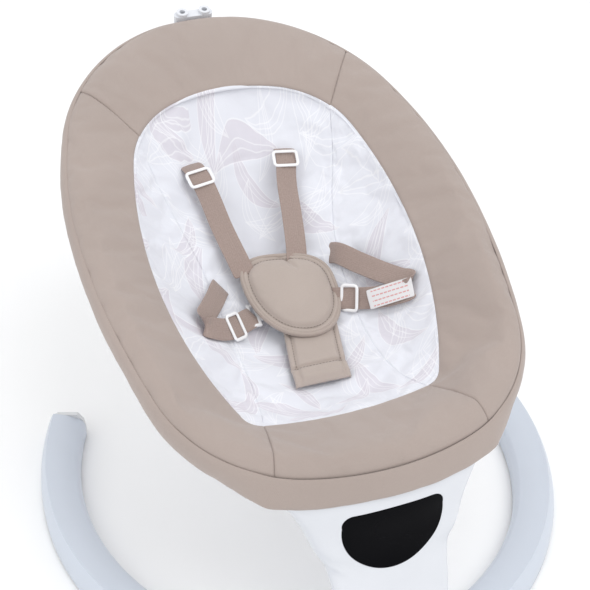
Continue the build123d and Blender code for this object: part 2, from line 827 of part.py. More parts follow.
def make_buckle_body():
    """Buckle housing with a pocket for its release button."""
    s = BUCKLE_S
    pocket = BUTTON_HALF + 0.1
    slot = BUTTON_HALF + 0.5
    body = rounded_block((-22, 22), (s - 24, s + 24), (BUCKLE_TOP - 11, BUCKLE_TOP), 8)
    body -= rounded_block((-pocket, pocket), (s - pocket, s + pocket), (BUCKLE_TOP - 5, BUCKLE_TOP + 1), 3)
    for mouth in ((-34.5, -9.5), (9.5, 34.5)):
        body -= block(mouth, (s - slot, s + slot), (BUCKLE_TOP - 9, BUCKLE_TOP - 5.9))
    return on_seat(body)


def make_buckle_button():
    """Release button in the buckle's top."""
    across = (-BUTTON_HALF, BUTTON_HALF)
    along = (BUCKLE_S - BUTTON_HALF, BUCKLE_S + BUTTON_HALF)
    return on_seat(rounded_block(across, along, (BUCKLE_TOP - 2.5, BUCKLE_TOP + 1), 3))


def make_buckle_tongue():
    """Right-hand tongue plugged into the buckle."""
    s = BUCKLE_S
    blade = block((10, 34), (s - 8, s + 8), (BUCKLE_TOP - 8.7, BUCKLE_TOP - 6.2))
    loop = block((34, 44), (s - 15, s + 15), (BUCKLE_TOP - 8.7, BUCKLE_TOP - 6.2))
    loop -= block((37, 41), (s - 12, s + 12), (BUCKLE_TOP - 12, BUCKLE_TOP))
    return on_seat(blade + loop)


def make_crotch_strap():
    """Padded strap from the seat's floor up to the buckle."""
    return on_seat(rounded_block((-31, 31), (-146, -89), (-96, -88.5), 4))


def make_strap_tag():
    """Sewn tag, left blank, beside the right-hand waist strap."""
    along, upward = Vector(*TAG_ALONG), Vector(*TAG_UPWARD)
    frame = Plane(origin=TAG_PLACE, x_dir=along, z_dir=along.cross(upward))
    return on_seat(frame.location * Box(*TAG_SIZE))


# ---- accessory bracket at the head -----------------------------------------------

BRACKET_HALF = 24
POST_X = 14


def bracket_notch():
    """Gap in the head's hem that the bracket's arm passes through."""
    edge = RIM["middle"] + RIM["head"][0]
    reach = BRACKET_HALF + 2
    return block((-reach, reach), (edge - 8, edge + 2), (-HEM_DEPTH - 1, -FABRIC - 4))


def make_bracket():
    """Bracket clamped to the head tube, with two sockets for a hoop."""
    edge = RIM["middle"] + RIM["head"][0]
    tube_s = edge - FRAME_INSET
    arm = block((-18, 18), (tube_s, edge + 3), (FRAME_DEPTH - 4, FRAME_DEPTH + 4))
    bar = rounded_block((-BRACKET_HALF, BRACKET_HALF), (edge + 1, edge + 13), (-24, 2), 5.5)
    bracket = arm + bar
    for x in (-POST_X, POST_X):
        bracket += Pos(x, edge + 7, 0) * cylinder_between(7, -24, 6)
    for x in (-POST_X, POST_X):
        bracket -= Pos(x, edge + 7, 0) * cylinder_between(3.5, -14, 7)
    return on_seat(bracket - frame_line(FRAME_RADIUS + 0.05))


# ---- fasteners -------------------------------------------------------------------

def make_column_screws():
    """Four screws that hold the hinge housing's flange to the column's top."""
    screws = []
    for x, y in SCREW_PLACES:
        screw = cylinder_between(SCREW_RADIUS, -14, -6.7) + cylinder_between(3, -14.4, -12.1)
        screws.append(Pos(x, y, 0) * screw)
    return on_swing(Compound(children=screws))


# ---- build -----------------------------------------------------------------------

def both_sides(name, shape):
    """Write a right-hand piece and its mirror image."""
    save(f"{name}_right", shape)
    save(f"{name}_left", mirrored(shape))


def build_base():
    both_sides("floor_shell", make_floor_shell())
    both_sides("floor_base", make_floor_base())
    both_sides("core_tube", make_core_tube())
    both_sides("end_cap", make_end_cap())
    save("foot_pads", make_foot_pads())
    save("tube_socket", make_tube_socket())
    front_shell, rear_shell = make_column_shells()
    save("column_front", front_shell)
    save("column_rear", rear_shell)
    save("display_lens", make_display_lens())
    save("display_board", make_display_board())
    save("control_board", make_control_board())
    save("speaker", make_speaker())
    save("power_inlet", make_power_inlet())
    save("hinge_housing", make_hinge_housing())
    save("bearing_upper", make_bearing(-10.9))
    save("bearing_lower", make_bearing(-HOUSING_LENGTH + 0.9))
    save("housing_screws", make_column_screws())
    save("drive_coil", make_drive_coil())
    save("coil_bobbin", make_coil_bobbin())


def build_carrier():
    save("swing_shaft", make_swing_shaft())
    save("shaft_clip", make_shaft_clip())
    save("carrier_hub", make_carrier_hub())
    save("carrier_beam", make_carrier_beam())
    save("drive_magnet", make_drive_magnet())
    save("recline_pins", make_recline_pins())
    save("recline_button", make_recline_button())


def build_seat():
    head_tube, foot_tube = make_frame_tubes()
    save("frame_tube_head", head_tube)
    save("frame_tube_foot", foot_tube)
    save("frame_spigots", make_frame_spigots())
    both_sides("hinge_plate", make_hinge_plate())
    head, left, right, foot = make_borders()
    save("border_head", head)
    save("border_left", left)
    save("border_right", right)
    save("border_foot", foot)
    save("seat_liner", make_liner())
    save("hoop_bracket", make_bracket())


def build_harness():
    both_sides("shoulder_strap", make_shoulder_strap())
    both_sides("shoulder_slide", make_shoulder_slide())
    both_sides("waist_strap", make_waist_strap())
    both_sides("waist_slide", make_waist_slide())
    both_sides("buckle_tongue", make_buckle_tongue())
    save("buckle_pad", make_buckle_pad())
    save("buckle_body", make_buckle_body())
    save("buckle_button", make_buckle_button())
    save("crotch_strap", make_crotch_strap())
    save("strap_tag", make_strap_tag())


os.makedirs("parts", exist_ok=True)
build_base()
build_carrier()
build_seat()
build_harness()
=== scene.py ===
import json
import math
import bmesh
import bpy
import numpy as np
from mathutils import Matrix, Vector, noise


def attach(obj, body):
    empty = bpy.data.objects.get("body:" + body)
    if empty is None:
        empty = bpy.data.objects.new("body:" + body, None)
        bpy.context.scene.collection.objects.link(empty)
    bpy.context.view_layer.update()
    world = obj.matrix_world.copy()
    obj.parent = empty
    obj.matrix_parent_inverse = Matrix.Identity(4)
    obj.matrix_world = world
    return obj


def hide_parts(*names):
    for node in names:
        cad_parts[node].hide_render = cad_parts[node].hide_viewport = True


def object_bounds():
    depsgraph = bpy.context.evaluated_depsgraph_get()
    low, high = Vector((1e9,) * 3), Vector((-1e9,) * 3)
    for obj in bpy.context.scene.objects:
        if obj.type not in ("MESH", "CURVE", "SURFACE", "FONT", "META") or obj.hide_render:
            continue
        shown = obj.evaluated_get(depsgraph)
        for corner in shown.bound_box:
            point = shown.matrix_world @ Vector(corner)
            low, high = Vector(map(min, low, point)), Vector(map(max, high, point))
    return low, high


# Looks of the baby swing: fabric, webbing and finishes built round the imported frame.
# Lengths in the seat's own drawings are millimetres; MM turns them into metres.
MM = 0.001

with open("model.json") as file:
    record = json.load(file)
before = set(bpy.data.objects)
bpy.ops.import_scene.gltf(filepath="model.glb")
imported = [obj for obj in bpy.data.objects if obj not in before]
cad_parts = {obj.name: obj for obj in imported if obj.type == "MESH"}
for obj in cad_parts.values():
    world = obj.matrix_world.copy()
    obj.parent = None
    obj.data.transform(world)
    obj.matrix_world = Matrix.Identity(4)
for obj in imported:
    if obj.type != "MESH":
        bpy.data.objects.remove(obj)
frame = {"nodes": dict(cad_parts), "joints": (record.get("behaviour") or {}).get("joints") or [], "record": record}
cad_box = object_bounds()


# ---- the seat's frame, read from the CAD -----------------------------------------

def joint_axis(name):
    """Axis of one of the frame's joints."""
    found = [joint for joint in frame["joints"] if joint["name"] == name]
    return Vector(found[0]["axis"]).normalized()


UP = -joint_axis("buckle_button_press")
RIGHT = Vector((1, 0, 0))
HEADWARD = UP.cross(RIGHT)
AXES = np.array([RIGHT, HEADWARD, UP])
BORDERS = ("border_head", "border_left", "border_right", "border_foot")


def vertices(node):
    """Vertices of a CAD node at rest, one row each."""
    return np.array([v.co for v in frame["nodes"][node].data.vertices])


def rim_extent():
    """Lowest and highest (x, s, h) of the cover's border, in metres from the frame's origin."""
    points = np.concatenate([vertices(node) for node in BORDERS]) @ AXES.T
    return points.min(0), points.max(0)


RIM_LOW, RIM_HIGH = rim_extent()
RIM_MIDDLE = 20
ORIGIN = HEADWARD * ((RIM_LOW[1] + RIM_HIGH[1]) / 2 - RIM_MIDDLE * MM) + UP * RIM_HIGH[2]
HALF_WIDTH = RIM_HIGH[0] / MM
HALF_LENGTH = (RIM_HIGH[1] - RIM_LOW[1]) / 2 / MM


def place(points):
    """Seat coordinates (x, s, h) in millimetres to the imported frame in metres."""
    points = np.asarray(points, float)
    return np.array(ORIGIN) + (points * MM) @ AXES


# ---- the seat's shape ------------------------------------------------------------

# Outlines: half width, middle, and for head and foot the half length, the turns at which
# the end arc and the corner arc stop, and the corner radius
RIM = dict(
    half_width=HALF_WIDTH,
    middle=RIM_MIDDLE,
    head=(HALF_LENGTH, 41, 73, 233),
    foot=(HALF_LENGTH, 16, 75, 155),
)
MOUTH = dict(half_width=148, middle=2, head=(217, 16, 75, 108), foot=(213, 10, 66, 25))

HEAD_SEAM_IN, HEAD_SEAM_OUT = (125, 175), (159, 244)
FOOT_SEAM_IN, FOOT_SEAM_OUT = (89, -206), (112, -289)
MOUTH_DROP, MOUTH_TILT = -25, 0.107

# Depth of the bowl along its middle line: (s, h)
BOWL_LINE = (
    (-211, -48), (-192, -71), (-172, -88), (-146, -98), (-100, -108), (-50, -111), (0, -106),
    (60, -94), (110, -80), (159, -60), (188, -39), (206, -17), (219, -2),
)


def end_radii(half_width, half_length, stops, corner):
    """Radii of the end arc and the side arc of a three-arc quarter."""
    a, b = map(math.radians, stops)
    width_left = half_width - corner * (math.sin(b) - math.sin(a))
    length_left = half_length - corner * (math.cos(a) - math.cos(b))
    scale = math.sin(a) * math.cos(b) - (1 - math.sin(b)) * (1 - math.cos(a))
    end = (width_left * math.cos(b) - length_left * (1 - math.sin(b))) / scale
    side = (length_left * math.sin(a) - width_left * (1 - math.cos(a))) / scale
    return end, side


def run_along(points):
    """Distance along a line of points, from its first point."""
    return np.concatenate([[0], np.cumsum(np.linalg.norm(np.diff(points, axis=0), axis=1))])


def unit(vectors):
    """Vectors along the last axis scaled to length 1."""
    return vectors / np.linalg.norm(vectors, axis=-1, keepdims=True)


def spread(points, count, closed=False):
    """The same line with evenly spaced points."""
    points = np.asarray(points, float)
    if closed:
        points = np.concatenate([points, points[:1]])
    run = run_along(points)
    where = np.linspace(0, run[-1], count + 1 if closed else count)
    evened = np.stack([np.interp(where, run, column) for column in points.T], axis=1)
    return evened[:-1] if closed else evened


def oval(outline, count=1440):
    """Closed outline of tangent arcs as (x, s), from the middle of the head to the right."""
    quarters = []
    for name in ("head", "foot"):
        half_length, first, second, corner = outline[name]
        end, side = end_radii(outline["half_width"], half_length, (first, second), corner)
        quarters.append([(end, first), (corner, second - first), (side, 90 - second)])
    place = np.array([0.0, outline["middle"] + outline["head"][0]])
    heading = 0.0
    points = [place]
    for radius, sweep in quarters[0] + quarters[1][::-1]:
        centre = place + radius * np.array([math.sin(heading), -math.cos(heading)])
        turned = heading - np.radians(np.linspace(0, sweep, 60))[1:]
        arc = centre - radius * np.stack([np.sin(turned), -np.cos(turned)], axis=1)
        points.extend(arc)
        place, heading = arc[-1], turned[-1]
    right = np.array(points)
    return spread(np.concatenate([right, right[-2:0:-1] * (-1, 1)]), count, closed=True)


RIM_LOOP = oval(RIM)
MOUTH_LOOP = oval(MOUTH)


def portion(loop, start, end, count):
    """The part of a closed outline from one place to another, in the outline's own direction."""
    first = np.argmin(np.linalg.norm(loop - start, axis=1))
    last = np.argmin(np.linalg.norm(loop - end, axis=1))
    return spread(np.roll(loop, -first, axis=0)[: (last - first) % len(loop) + 1], count)


def across(point):
    """The same place on the other side of the middle line."""
    return (-point[0], point[1])


def nearest(loop, place_on_it):
    """The point of an outline that is nearest to a place."""
    return loop[np.argmin(np.linalg.norm(loop - place_on_it, axis=1))]


HEAD_CORNER = nearest(MOUTH_LOOP, HEAD_SEAM_IN)
FOOT_CORNER = nearest(MOUTH_LOOP, FOOT_SEAM_IN)


def mouth_half_width(s):
    """Half width of the bowl's mouth at any s."""
    right = MOUTH_LOOP[MOUTH_LOOP[:, 0] >= 0]
    order = np.argsort(right[:, 1])
    return np.interp(s, right[order, 1], right[order, 0])


def mouth_height(s):
    """Height of the bowl's mouth, the border's inner edge."""
    return MOUTH_DROP + MOUTH_TILT * np.asarray(s, float)


def bowl(x, s):
    """Height of the bowl's fabric over the rim plane."""
    line_s, line_h = zip(*BOWL_LINE)
    middle = smooth_line(s, np.array(line_s), np.array(line_h))
    share = np.clip(np.abs(x) / np.maximum(mouth_half_width(s), 1), 0, 1)
    edge = mouth_height(s)
    return edge + (middle - edge) * (1 - share**2.7)


def smooth_line(s, knots, values):
    """Smooth curve through knots: cubic pieces with averaged slopes."""
    slopes = np.gradient(values.astype(float), knots.astype(float))
    index = np.clip(np.searchsorted(knots, s) - 1, 0, len(knots) - 2)
    span = knots[index + 1] - knots[index]
    t = np.clip((s - knots[index]) / span, 0, 1)
    start, end = values[index], values[index + 1]
    rise = (2 * t**3 - 3 * t**2 + 1) * start + (3 * t**2 - 2 * t**3) * end
    return rise + ((t**3 - 2 * t**2 + t) * slopes[index] + (t**3 - t**2) * slopes[index + 1]) * span


# ---- mesh helpers ----------------------------------------------------------------

def mesh_object(name, points, faces, smooth=True):
    """A new mesh object from points in metres."""
    mesh = bpy.data.meshes.new(name)
    mesh.from_pydata([tuple(p) for p in points], [], faces)
    mesh.validate()
    mesh.polygons.foreach_set("use_smooth", [smooth] * len(mesh.polygons))
    piece = bpy.data.objects.new(name, mesh)
    bpy.context.scene.collection.objects.link(piece)
    return piece


def grid_faces(rows, columns, wrap=False, offset=0, flip=False, closed=False):
    """Quads of a grid of points numbered row by row."""
    faces = []
    for i in range(rows if closed else rows - 1):
        for j in range(columns if wrap else columns - 1):
            k, m = (j + 1) % columns, (i + 1) % rows
            quad = (i * columns + j, i * columns + k, m * columns + k, m * columns + j)
            faces.append(tuple(offset + n for n in (quad[::-1] if flip else quad)))
    return faces


def end_caps(rows, sides, offset=0):
    """Two faces that close the ends of a tube of rings."""
    return [tuple(offset + row * sides + k for k in range(sides)) for row in (0, rows - 1)]


def grid_normals(grid, wrap=False):
    """Unit normals of a grid of points, rows along the first axis."""
    if wrap:
        padded = np.concatenate([grid[:, -1:], grid, grid[:, :1]], axis=1)
        along = np.gradient(padded, axis=1)[:, 1:-1]
    else:
        along = np.gradient(grid, axis=1)
    normal = np.cross(along, np.gradient(grid, axis=0))
    return normal / np.maximum(np.linalg.norm(normal, axis=2, keepdims=True), 1e-12)


def closed_sheet(name, grid, thickness, wrap=False):
    """A closed piece: the grid on top and its copy a thickness below, in metres."""
    rows, columns = grid.shape[:2]
    normals = grid_normals(grid, wrap)
    if (normals @ np.array(UP)).mean() < 0:
        normals = -normals
    depth = np.broadcast_to(np.asarray(thickness, float), (rows, columns))[..., None]
    below = grid - normals * depth
    points = np.concatenate([grid.reshape(-1, 3), below.reshape(-1, 3)])
    count = rows * columns
    faces = grid_faces(rows, columns, wrap) + grid_faces(rows, columns, wrap, count, True)
    faces += rim_faces(rows, columns, wrap, count)
    piece = mesh_object(name, points, faces)
    outward(piece)
    return piece


def rim_faces(rows, columns, wrap, count):
    """Walls that close the edges between a top grid and its copy below."""
    loops = []
    if wrap:
        loops = [[(0, j) for j in range(columns)] + [(0, 0)]]
        loops.append([(rows - 1, j) for j in range(columns)] + [(rows - 1, 0)])
    else:
        edge = [(0, j) for j in range(columns)] + [(i, columns - 1) for i in range(1, rows)]
        edge += [(rows - 1, j) for j in range(columns - 2, -1, -1)]
        edge += [(i, 0) for i in range(rows - 2, -1, -1)]
        loops = [edge]
    faces = []
    for loop in loops:
        for (i1, j1), (i2, j2) in zip(loop, loop[1:]):
            a, b = i1 * columns + j1, i2 * columns + j2
            faces.append((a, b, count + b, count + a))
    return faces


def outward(piece):
    """Make a closed mesh's faces point outwards."""
    work = bmesh.new()
    work.from_mesh(piece.data)
    bmesh.ops.recalc_face_normals(work, faces=work.faces)
    work.to_mesh(piece.data)
    work.free()


def subdivide(piece, levels=1):
    """Leave a live subdivision surface on a piece."""
    modifier = piece.modifiers.new("smooth", "SUBSURF")
    modifier.levels = levels
    modifier.render_levels = levels
    return piece


def wrinkle(points, scale, seed, stretch=(1, 1, 1)):
    """Soft noise in -1..1 at points in millimetres."""
    flat = points.reshape(-1, points.shape[-1])
    shift = Vector((seed * 7.3, seed * 3.1, seed * 5.7))
    values = [
        noise.noise(Vector((p[0] / stretch[0], p[1] / stretch[1], 0)) / scale + shift) for p in flat
    ]
    return np.array(values).reshape(points.shape[:-1])


def bump_at(distance, width):
    """Bell of height 1 at distance 0."""
    return np.exp(-((distance / width) ** 2))


def tucked(grid, out=0.9, down=4.5):
    """A grid in seat coordinates with its four edges turned down into their seams."""
    grid = np.concatenate([grid[:1], grid, grid[-1:]])
    grid = np.concatenate([grid[:, :1], grid, grid[:, -1:]], axis=1)
    for edge, inside in ((np.s_[0], np.s_[2]), (np.s_[-1], np.s_[-3])):
        for axis in (0, 1):
            view = grid if axis == 0 else grid.transpose(1, 0, 2)
            step = view[edge] - view[inside]
            step[:, 2] = 0
            step /= np.maximum(np.linalg.norm(step, axis=1, keepdims=True), 1e-6)
            view[edge] += step * out
            view[edge][:, 2] -= down
    return grid


def grid_edge(rows, columns):
    """Numbers of the points on a grid's four edges."""
    numbers = np.arange(rows * columns).reshape(rows, columns)
    edges = (numbers[0], numbers[-1], numbers[:, 0], numbers[:, -1])
    return sorted({int(n) for edge in edges for n in edge})


SETTLE_FRAMES = 18

# Settling: spare cloth as a share of its size, pressure, and the most a point may move in mm
BORDER_SPARE, BORDER_PRESSURE, BORDER_CAP = 0.012, 0.6, 5
LINER_SPARE, LINER_PRESSURE, LINER_CAP = 0.035, -0.3, 8


def settled(grid, spare, pressure, cap):
    """Let a sheet with spare cloth settle by simulation, held along its edges."""
    whole = grid
    # A side panel's end rows shrink to a point, and the solver does nothing with them in
    wide = np.linalg.norm(whole[:, -1] - whole[:, 0], axis=1) > 1
    grid = whole[wide]
    upward = np.cross(np.gradient(grid, axis=1), np.gradient(grid, axis=0))[..., 2].mean()
    rows, columns = grid.shape[:2]
    sheet = mesh_object("settling", place(grid).reshape(-1, 3), grid_faces(rows, columns))
    sheet.vertex_groups.new(name="held").add(grid_edge(rows, columns), 1.0, "REPLACE")
    cloth = sheet.modifiers.new("cloth", "CLOTH")
    settings = cloth.settings
    settings.quality = 6
    settings.mass = 0.15
    settings.vertex_group_mass = "held"
    settings.tension_stiffness = 12
    settings.compression_stiffness = 12
    settings.shear_stiffness = 4
    settings.bending_stiffness = 0.15
    settings.shrink_min = -spare
    settings.use_pressure = True
    settings.uniform_pressure_force = pressure * np.sign(upward)
    settings.effector_weights.gravity = 0
    cloth.point_cache.frame_end = SETTLE_FRAMES
    scene = bpy.context.scene
    for moment in range(1, SETTLE_FRAMES + 1):
        scene.frame_set(moment)
    settled_mesh = sheet.evaluated_get(bpy.context.evaluated_depsgraph_get()).to_mesh()
    moved = np.array([v.co for v in settled_mesh.vertices]).reshape(grid.shape)
    bpy.data.objects.remove(sheet)
    scene.frame_set(1)
    shift = (moved - np.array(ORIGIN)) @ AXES.T / MM - grid
    far = np.linalg.norm(shift, axis=2, keepdims=True)
    result = whole.copy()
    result[wide] = grid + shift * np.minimum(1, cap / np.maximum(far, 1e-9))
    return result


def closed_tube(name, loop, radius, sides=8, flat=1.0):
    """A closed tube round a loop of points in seat coordinates."""
    along = np.roll(loop, -1, axis=0) - np.roll(loop, 1, axis=0)
    along = unit(along)
    side = np.cross(along, (0, 0, 1))
    side = unit(side)
    lift = np.cross(side, along)
    turns = np.linspace(0, 2 * math.pi, sides, endpoint=False)
    rings = [loop + radius * (math.cos(t) * side + flat * math.sin(t) * lift) for t in turns]
    points = place(np.stack(rings, axis=1)).reshape(-1, 3)
    piece = mesh_object(name, points, grid_faces(len(loop), sides, wrap=True, closed=True))
    outward(piece)
    return piece


STITCH_LENGTH, STITCH_GAP, STITCH_RADIUS = 2.6, 1.1, 0.38


def stitches(name, path):
    """A row of sewn stitches along a line of points in seat coordinates."""
    path = np.asarray(path, float)
    total = np.linalg.norm(np.diff(path, axis=0), axis=1).sum()
    count = max(2, int(total / (STITCH_LENGTH + STITCH_GAP)))
    line = spread(path, 4 * count + 1)
    points, faces = [], []
    for stitch in range(count):
        stretch = line[4 * stitch: 4 * stitch + 4]
        along = stretch[-1] - stretch[0]
        along = unit(along)
        side = np.cross(along, (0, 0, 1))
        side = unit(side)
        lift = np.cross(side, along)
        first = len(points)
        for centre, size, raised in zip(stretch, (0.5, 1, 1, 0.5), (-0.25, 0.15, 0.15, -0.25)):
            for turn in np.linspace(0, 2 * math.pi, 6, endpoint=False):
                round_it = math.cos(turn) * side + math.sin(turn) * lift
                points.append(centre + STITCH_RADIUS * size * round_it + lift * raised)
        faces += grid_faces(4, 6, wrap=True, offset=first)
        faces += [tuple(first + k for k in range(5, -1, -1)), tuple(first + 18 + k for k in range(6))]
    piece = mesh_object(name, place(points), faces)
    outward(piece)
    return dress(piece, "thread")


# ---- materials -------------------------------------------------------------------

def new_material(name, color, roughness, **sockets):
    """Principled material with constant values on its own sockets."""
    material = bpy.data.materials.new(name)
    material.use_nodes = True
    shader = material.node_tree.nodes["Principled BSDF"]
    shader.inputs["Base Color"].default_value = (*color, 1)
    shader.inputs["Roughness"].default_value = roughness
    for socket, value in sockets.items():
        shader.inputs[socket.replace("_", " ")].default_value = value
    return material


class Nodes:
    """Short names for building one material's nodes."""

    def __init__(self, material):
        self.tree = material.node_tree
        self.shader = self.tree.nodes["Principled BSDF"]

    def add(self, kind, **settings):
        node = self.tree.nodes.new(kind)
        for key, value in settings.items():
            setattr(node, key, value)
        return node

    def link(self, source, target):
        self.tree.links.new(source, target)

    def math(self, operation, a, b=0.0, c=None, clamp=False):
        node = self.add("ShaderNodeMath", operation=operation, use_clamp=clamp)
        for socket, value in zip(node.inputs, (a, b) if c is None else (a, b, c)):
            if isinstance(value, (int, float)):
                socket.default_value = value
            else:
                self.link(value, socket)
        return node.outputs[0]

    def times(self, a, b, clamp=False):
        return self.math("MULTIPLY", a, b, clamp=clamp)

    def paint(self, source, socket="Base Color"):
        self.link(source, self.shader.inputs[socket])

    def print_place(self):
        return self.add("ShaderNodeAttribute", attribute_name="print_place").outputs["Vector"]

    def noise(self, vector, scale, detail=2.0, roughness=0.5):
        node = self.add("ShaderNodeTexNoise")
        node.inputs["Scale"].default_value = scale
        node.inputs["Detail"].default_value = detail
        node.inputs["Roughness"].default_value = roughness
        self.link(vector, node.inputs["Vector"])
        return node.outputs["Fac"]

    def ramp(self, factor, *stops):
        node = self.add("ShaderNodeValToRGB")
        elements = node.color_ramp.elements
        while len(elements) < len(stops):
            elements.new(0.5)
        for element, (position, color) in zip(elements, stops):
            element.position = position
            element.color = (*color, 1) if len(color) == 3 else color
        self.link(factor, node.inputs["Fac"])
        return node.outputs["Color"]

    def mix(self, factor, a, b):
        node = self.add("ShaderNodeMix", data_type="RGBA")
        for socket, value in zip((node.inputs[0], node.inputs[6], node.inputs[7]), (factor, a, b)):
            if isinstance(value, (int, float)):
                socket.default_value = value
            elif isinstance(value, tuple):
                socket.default_value = (*value, 1)
            else:
                self.link(value, socket)
        return node.outputs[2]

    def bump(self, height, distance, strength=1.0, normal=None):
        node = self.add("ShaderNodeBump")
        node.inputs["Strength"].default_value = strength
        node.inputs["Distance"].default_value = distance
        self.link(height, node.inputs["Height"])
        if normal is not None:
            self.link(normal, node.inputs["Normal"])
        return node.outputs["Normal"]

    def coordinates(self):
        return self.add("ShaderNodeTexCoord").outputs["Object"]


def scaled(color, factor):
    """A lighter or darker copy of a colour."""
    return tuple(min(1.0, channel * factor) for channel in color)


def weave_height(nodes, vector, pitch):
    """Plain weave: threads crossing in the seat's two directions."""
    split = nodes.add("ShaderNodeSeparateXYZ")
    nodes.link(vector, split.inputs[0])
    turns = 2 * math.pi / pitch
    across = nodes.math("SINE", nodes.times(split.outputs[0], turns))
    along = nodes.math("SINE", nodes.times(split.outputs[1], turns))
    return nodes.times(across, along)


def fabric_material(name, color, pitch=0.0011, shade=0.06, sheen=0.25):
    """Woven cloth: threads, slubs and a soft change of tone."""
    material = new_material(name, color, 0.86, Sheen_Weight=sheen, Sheen_Roughness=0.5)
    nodes = Nodes(material)
    where = nodes.coordinates()
    cloudy = nodes.noise(where, 9.0, 3.0)
    slubs = nodes.noise(where, 900.0, 2.0)
    tone = nodes.math("ADD", nodes.times(cloudy, 0.6), nodes.times(slubs, 0.4))
    shaded = nodes.ramp(tone, (0.25, scaled(color, 1 - shade)), (0.75, scaled(color, 1 + shade)))
    nodes.paint(shaded)
    weave = weave_height(nodes, where, pitch)
    height = nodes.math("ADD", weave, nodes.times(slubs, 1.6))
    fine = nodes.bump(height, 0.00012, 0.6)
    creased = nodes.bump(nodes.noise(where, 60.0, 4.0, 0.6), 0.0012, 0.35, fine)
    nodes.paint(creased, "Normal")
    return material


LEAF_SOFT, LEAF_LINE_HALF = 0.0006, 0.0008


def leaf_layer(nodes, where, seed, cell, length, width, bend, filled):
    """One scattered layer of curved leaves: masks of the filled ones and of all outlines."""
    mapping = nodes.add("ShaderNodeMapping")
    mapping.inputs["Location"].default_value = (seed * 0.137, seed * 0.071, 0)
    mapping.inputs["Rotation"].default_value = (0, 0, seed * 0.9)
    nodes.link(where, mapping.inputs["Vector"])
    voronoi = nodes.add("ShaderNodeTexVoronoi", voronoi_dimensions="2D", feature="F1")
    voronoi.inputs["Scale"].default_value = 1 / cell
    voronoi.inputs["Randomness"].default_value = 0.45
    nodes.link(mapping.outputs[0], voronoi.inputs["Vector"])
    toward = nodes.add("ShaderNodeVectorMath", operation="SUBTRACT")
    nodes.link(mapping.outputs[0], toward.inputs[0])
    nodes.link(voronoi.outputs["Position"], toward.inputs[1])
    chance = nodes.add("ShaderNodeSeparateColor")
    nodes.link(voronoi.outputs["Color"], chance.inputs[0])
    turn = nodes.add("ShaderNodeVectorRotate", rotation_type="Z_AXIS")
    nodes.link(toward.outputs[0], turn.inputs["Vector"])
    nodes.link(nodes.math("MULTIPLY_ADD", chance.outputs[0], 2.6, -1.3), turn.inputs["Angle"])
    split = nodes.add("ShaderNodeSeparateXYZ")
    nodes.link(turn.outputs[0], split.inputs[0])
    along = nodes.math("DIVIDE", split.outputs[0], length)
    square = nodes.times(along, along)
    sideways = nodes.math("SUBTRACT", split.outputs[1], nodes.times(square, bend))
    half = nodes.times(nodes.math("SUBTRACT", 1.0, square), width)
    edge = nodes.math("SUBTRACT", half, nodes.math("ABSOLUTE", sideways))
    inside = nodes.times(edge, 1 / LEAF_SOFT, clamp=True)
    outline = line_mask(nodes, edge)
    for share in (0.0, 0.5):
        vein = nodes.math("SUBTRACT", sideways, nodes.times(half, share))
        outline = nodes.math("MAXIMUM", outline, nodes.times(line_mask(nodes, vein), inside))
    chosen = nodes.math("GREATER_THAN", chance.outputs[1], 1 - filled)
    return nodes.times(inside, chosen), outline


def line_mask(nodes, distance):
    """Thin soft line where a distance passes through nothing."""
    far = nodes.times(nodes.math("ABSOLUTE", distance), 1 / LEAF_LINE_HALF)
    return nodes.math("SUBTRACT", 1.0, far, clamp=True)


LINER_WHITE = (0.79, 0.80, 0.855)
LEAF_LILAC = (0.70, 0.665, 0.725)
LEAF_LINE = (0.95, 0.95, 0.97)

# Leaves of the print: seed, spacing, half length, half width, bend (metres) and share filled
LEAF_LAYERS = (
    (1, 0.082, 0.041, 0.0110, 0.014, 0.75),
    (2, 0.064, 0.032, 0.0080, -0.011, 0.45),
    (3, 0.096, 0.047, 0.0130, 0.018, 0.30),
    (4, 0.072, 0.036, 0.0100, -0.015, 0.10),
)


def liner_material():
    """White cloth printed with pale curved leaves and white outlines."""
    material = fabric_material("liner_print", LINER_WHITE, pitch=0.0009, shade=0.02, sheen=0.15)
    nodes = Nodes(material)
    where = nodes.print_place()
    base = nodes.shader.inputs["Base Color"].links[0].from_socket
    color = base
    for layer in LEAF_LAYERS:
        inside, outline = leaf_layer(nodes, where, *layer)
        color = nodes.mix(nodes.times(inside, 0.7), color, LEAF_LILAC)
        color = nodes.mix(nodes.times(outline, 0.6), color, LEAF_LINE)
    nodes.paint(color)
    return material


def webbing_material(name, color):
    """Flat webbing: fine ribs across its length and threads along it."""
    material = new_material(name, color, 0.78, Sheen_Weight=0.2, Sheen_Roughness=0.4)
    nodes = Nodes(material)
    where = nodes.print_place()
    split = nodes.add("ShaderNodeSeparateXYZ")
    nodes.link(where, split.inputs[0])
    ribs = nodes.math("SINE", nodes.times(split.outputs[1], 2 * math.pi / 0.0013))
    threads = nodes.math("SINE", nodes.times(split.outputs[0], 2 * math.pi / 0.0024))
    height = nodes.math("ADD", ribs, nodes.times(threads, 0.5))
    nodes.paint(nodes.bump(height, 0.00018, 0.8), "Normal")
    grain = nodes.noise(where, 500.0, 2.0)
    # Colour: random grain plus painted shade, darker in the rib valleys and lighter on the rib tops.
    tone = nodes.math("ADD", nodes.times(height, 0.12), grain)
    shaded = nodes.ramp(tone, (0.3, scaled(color, 0.9)), (0.7, scaled(color, 1.08)))
    nodes.paint(shaded)
    return material


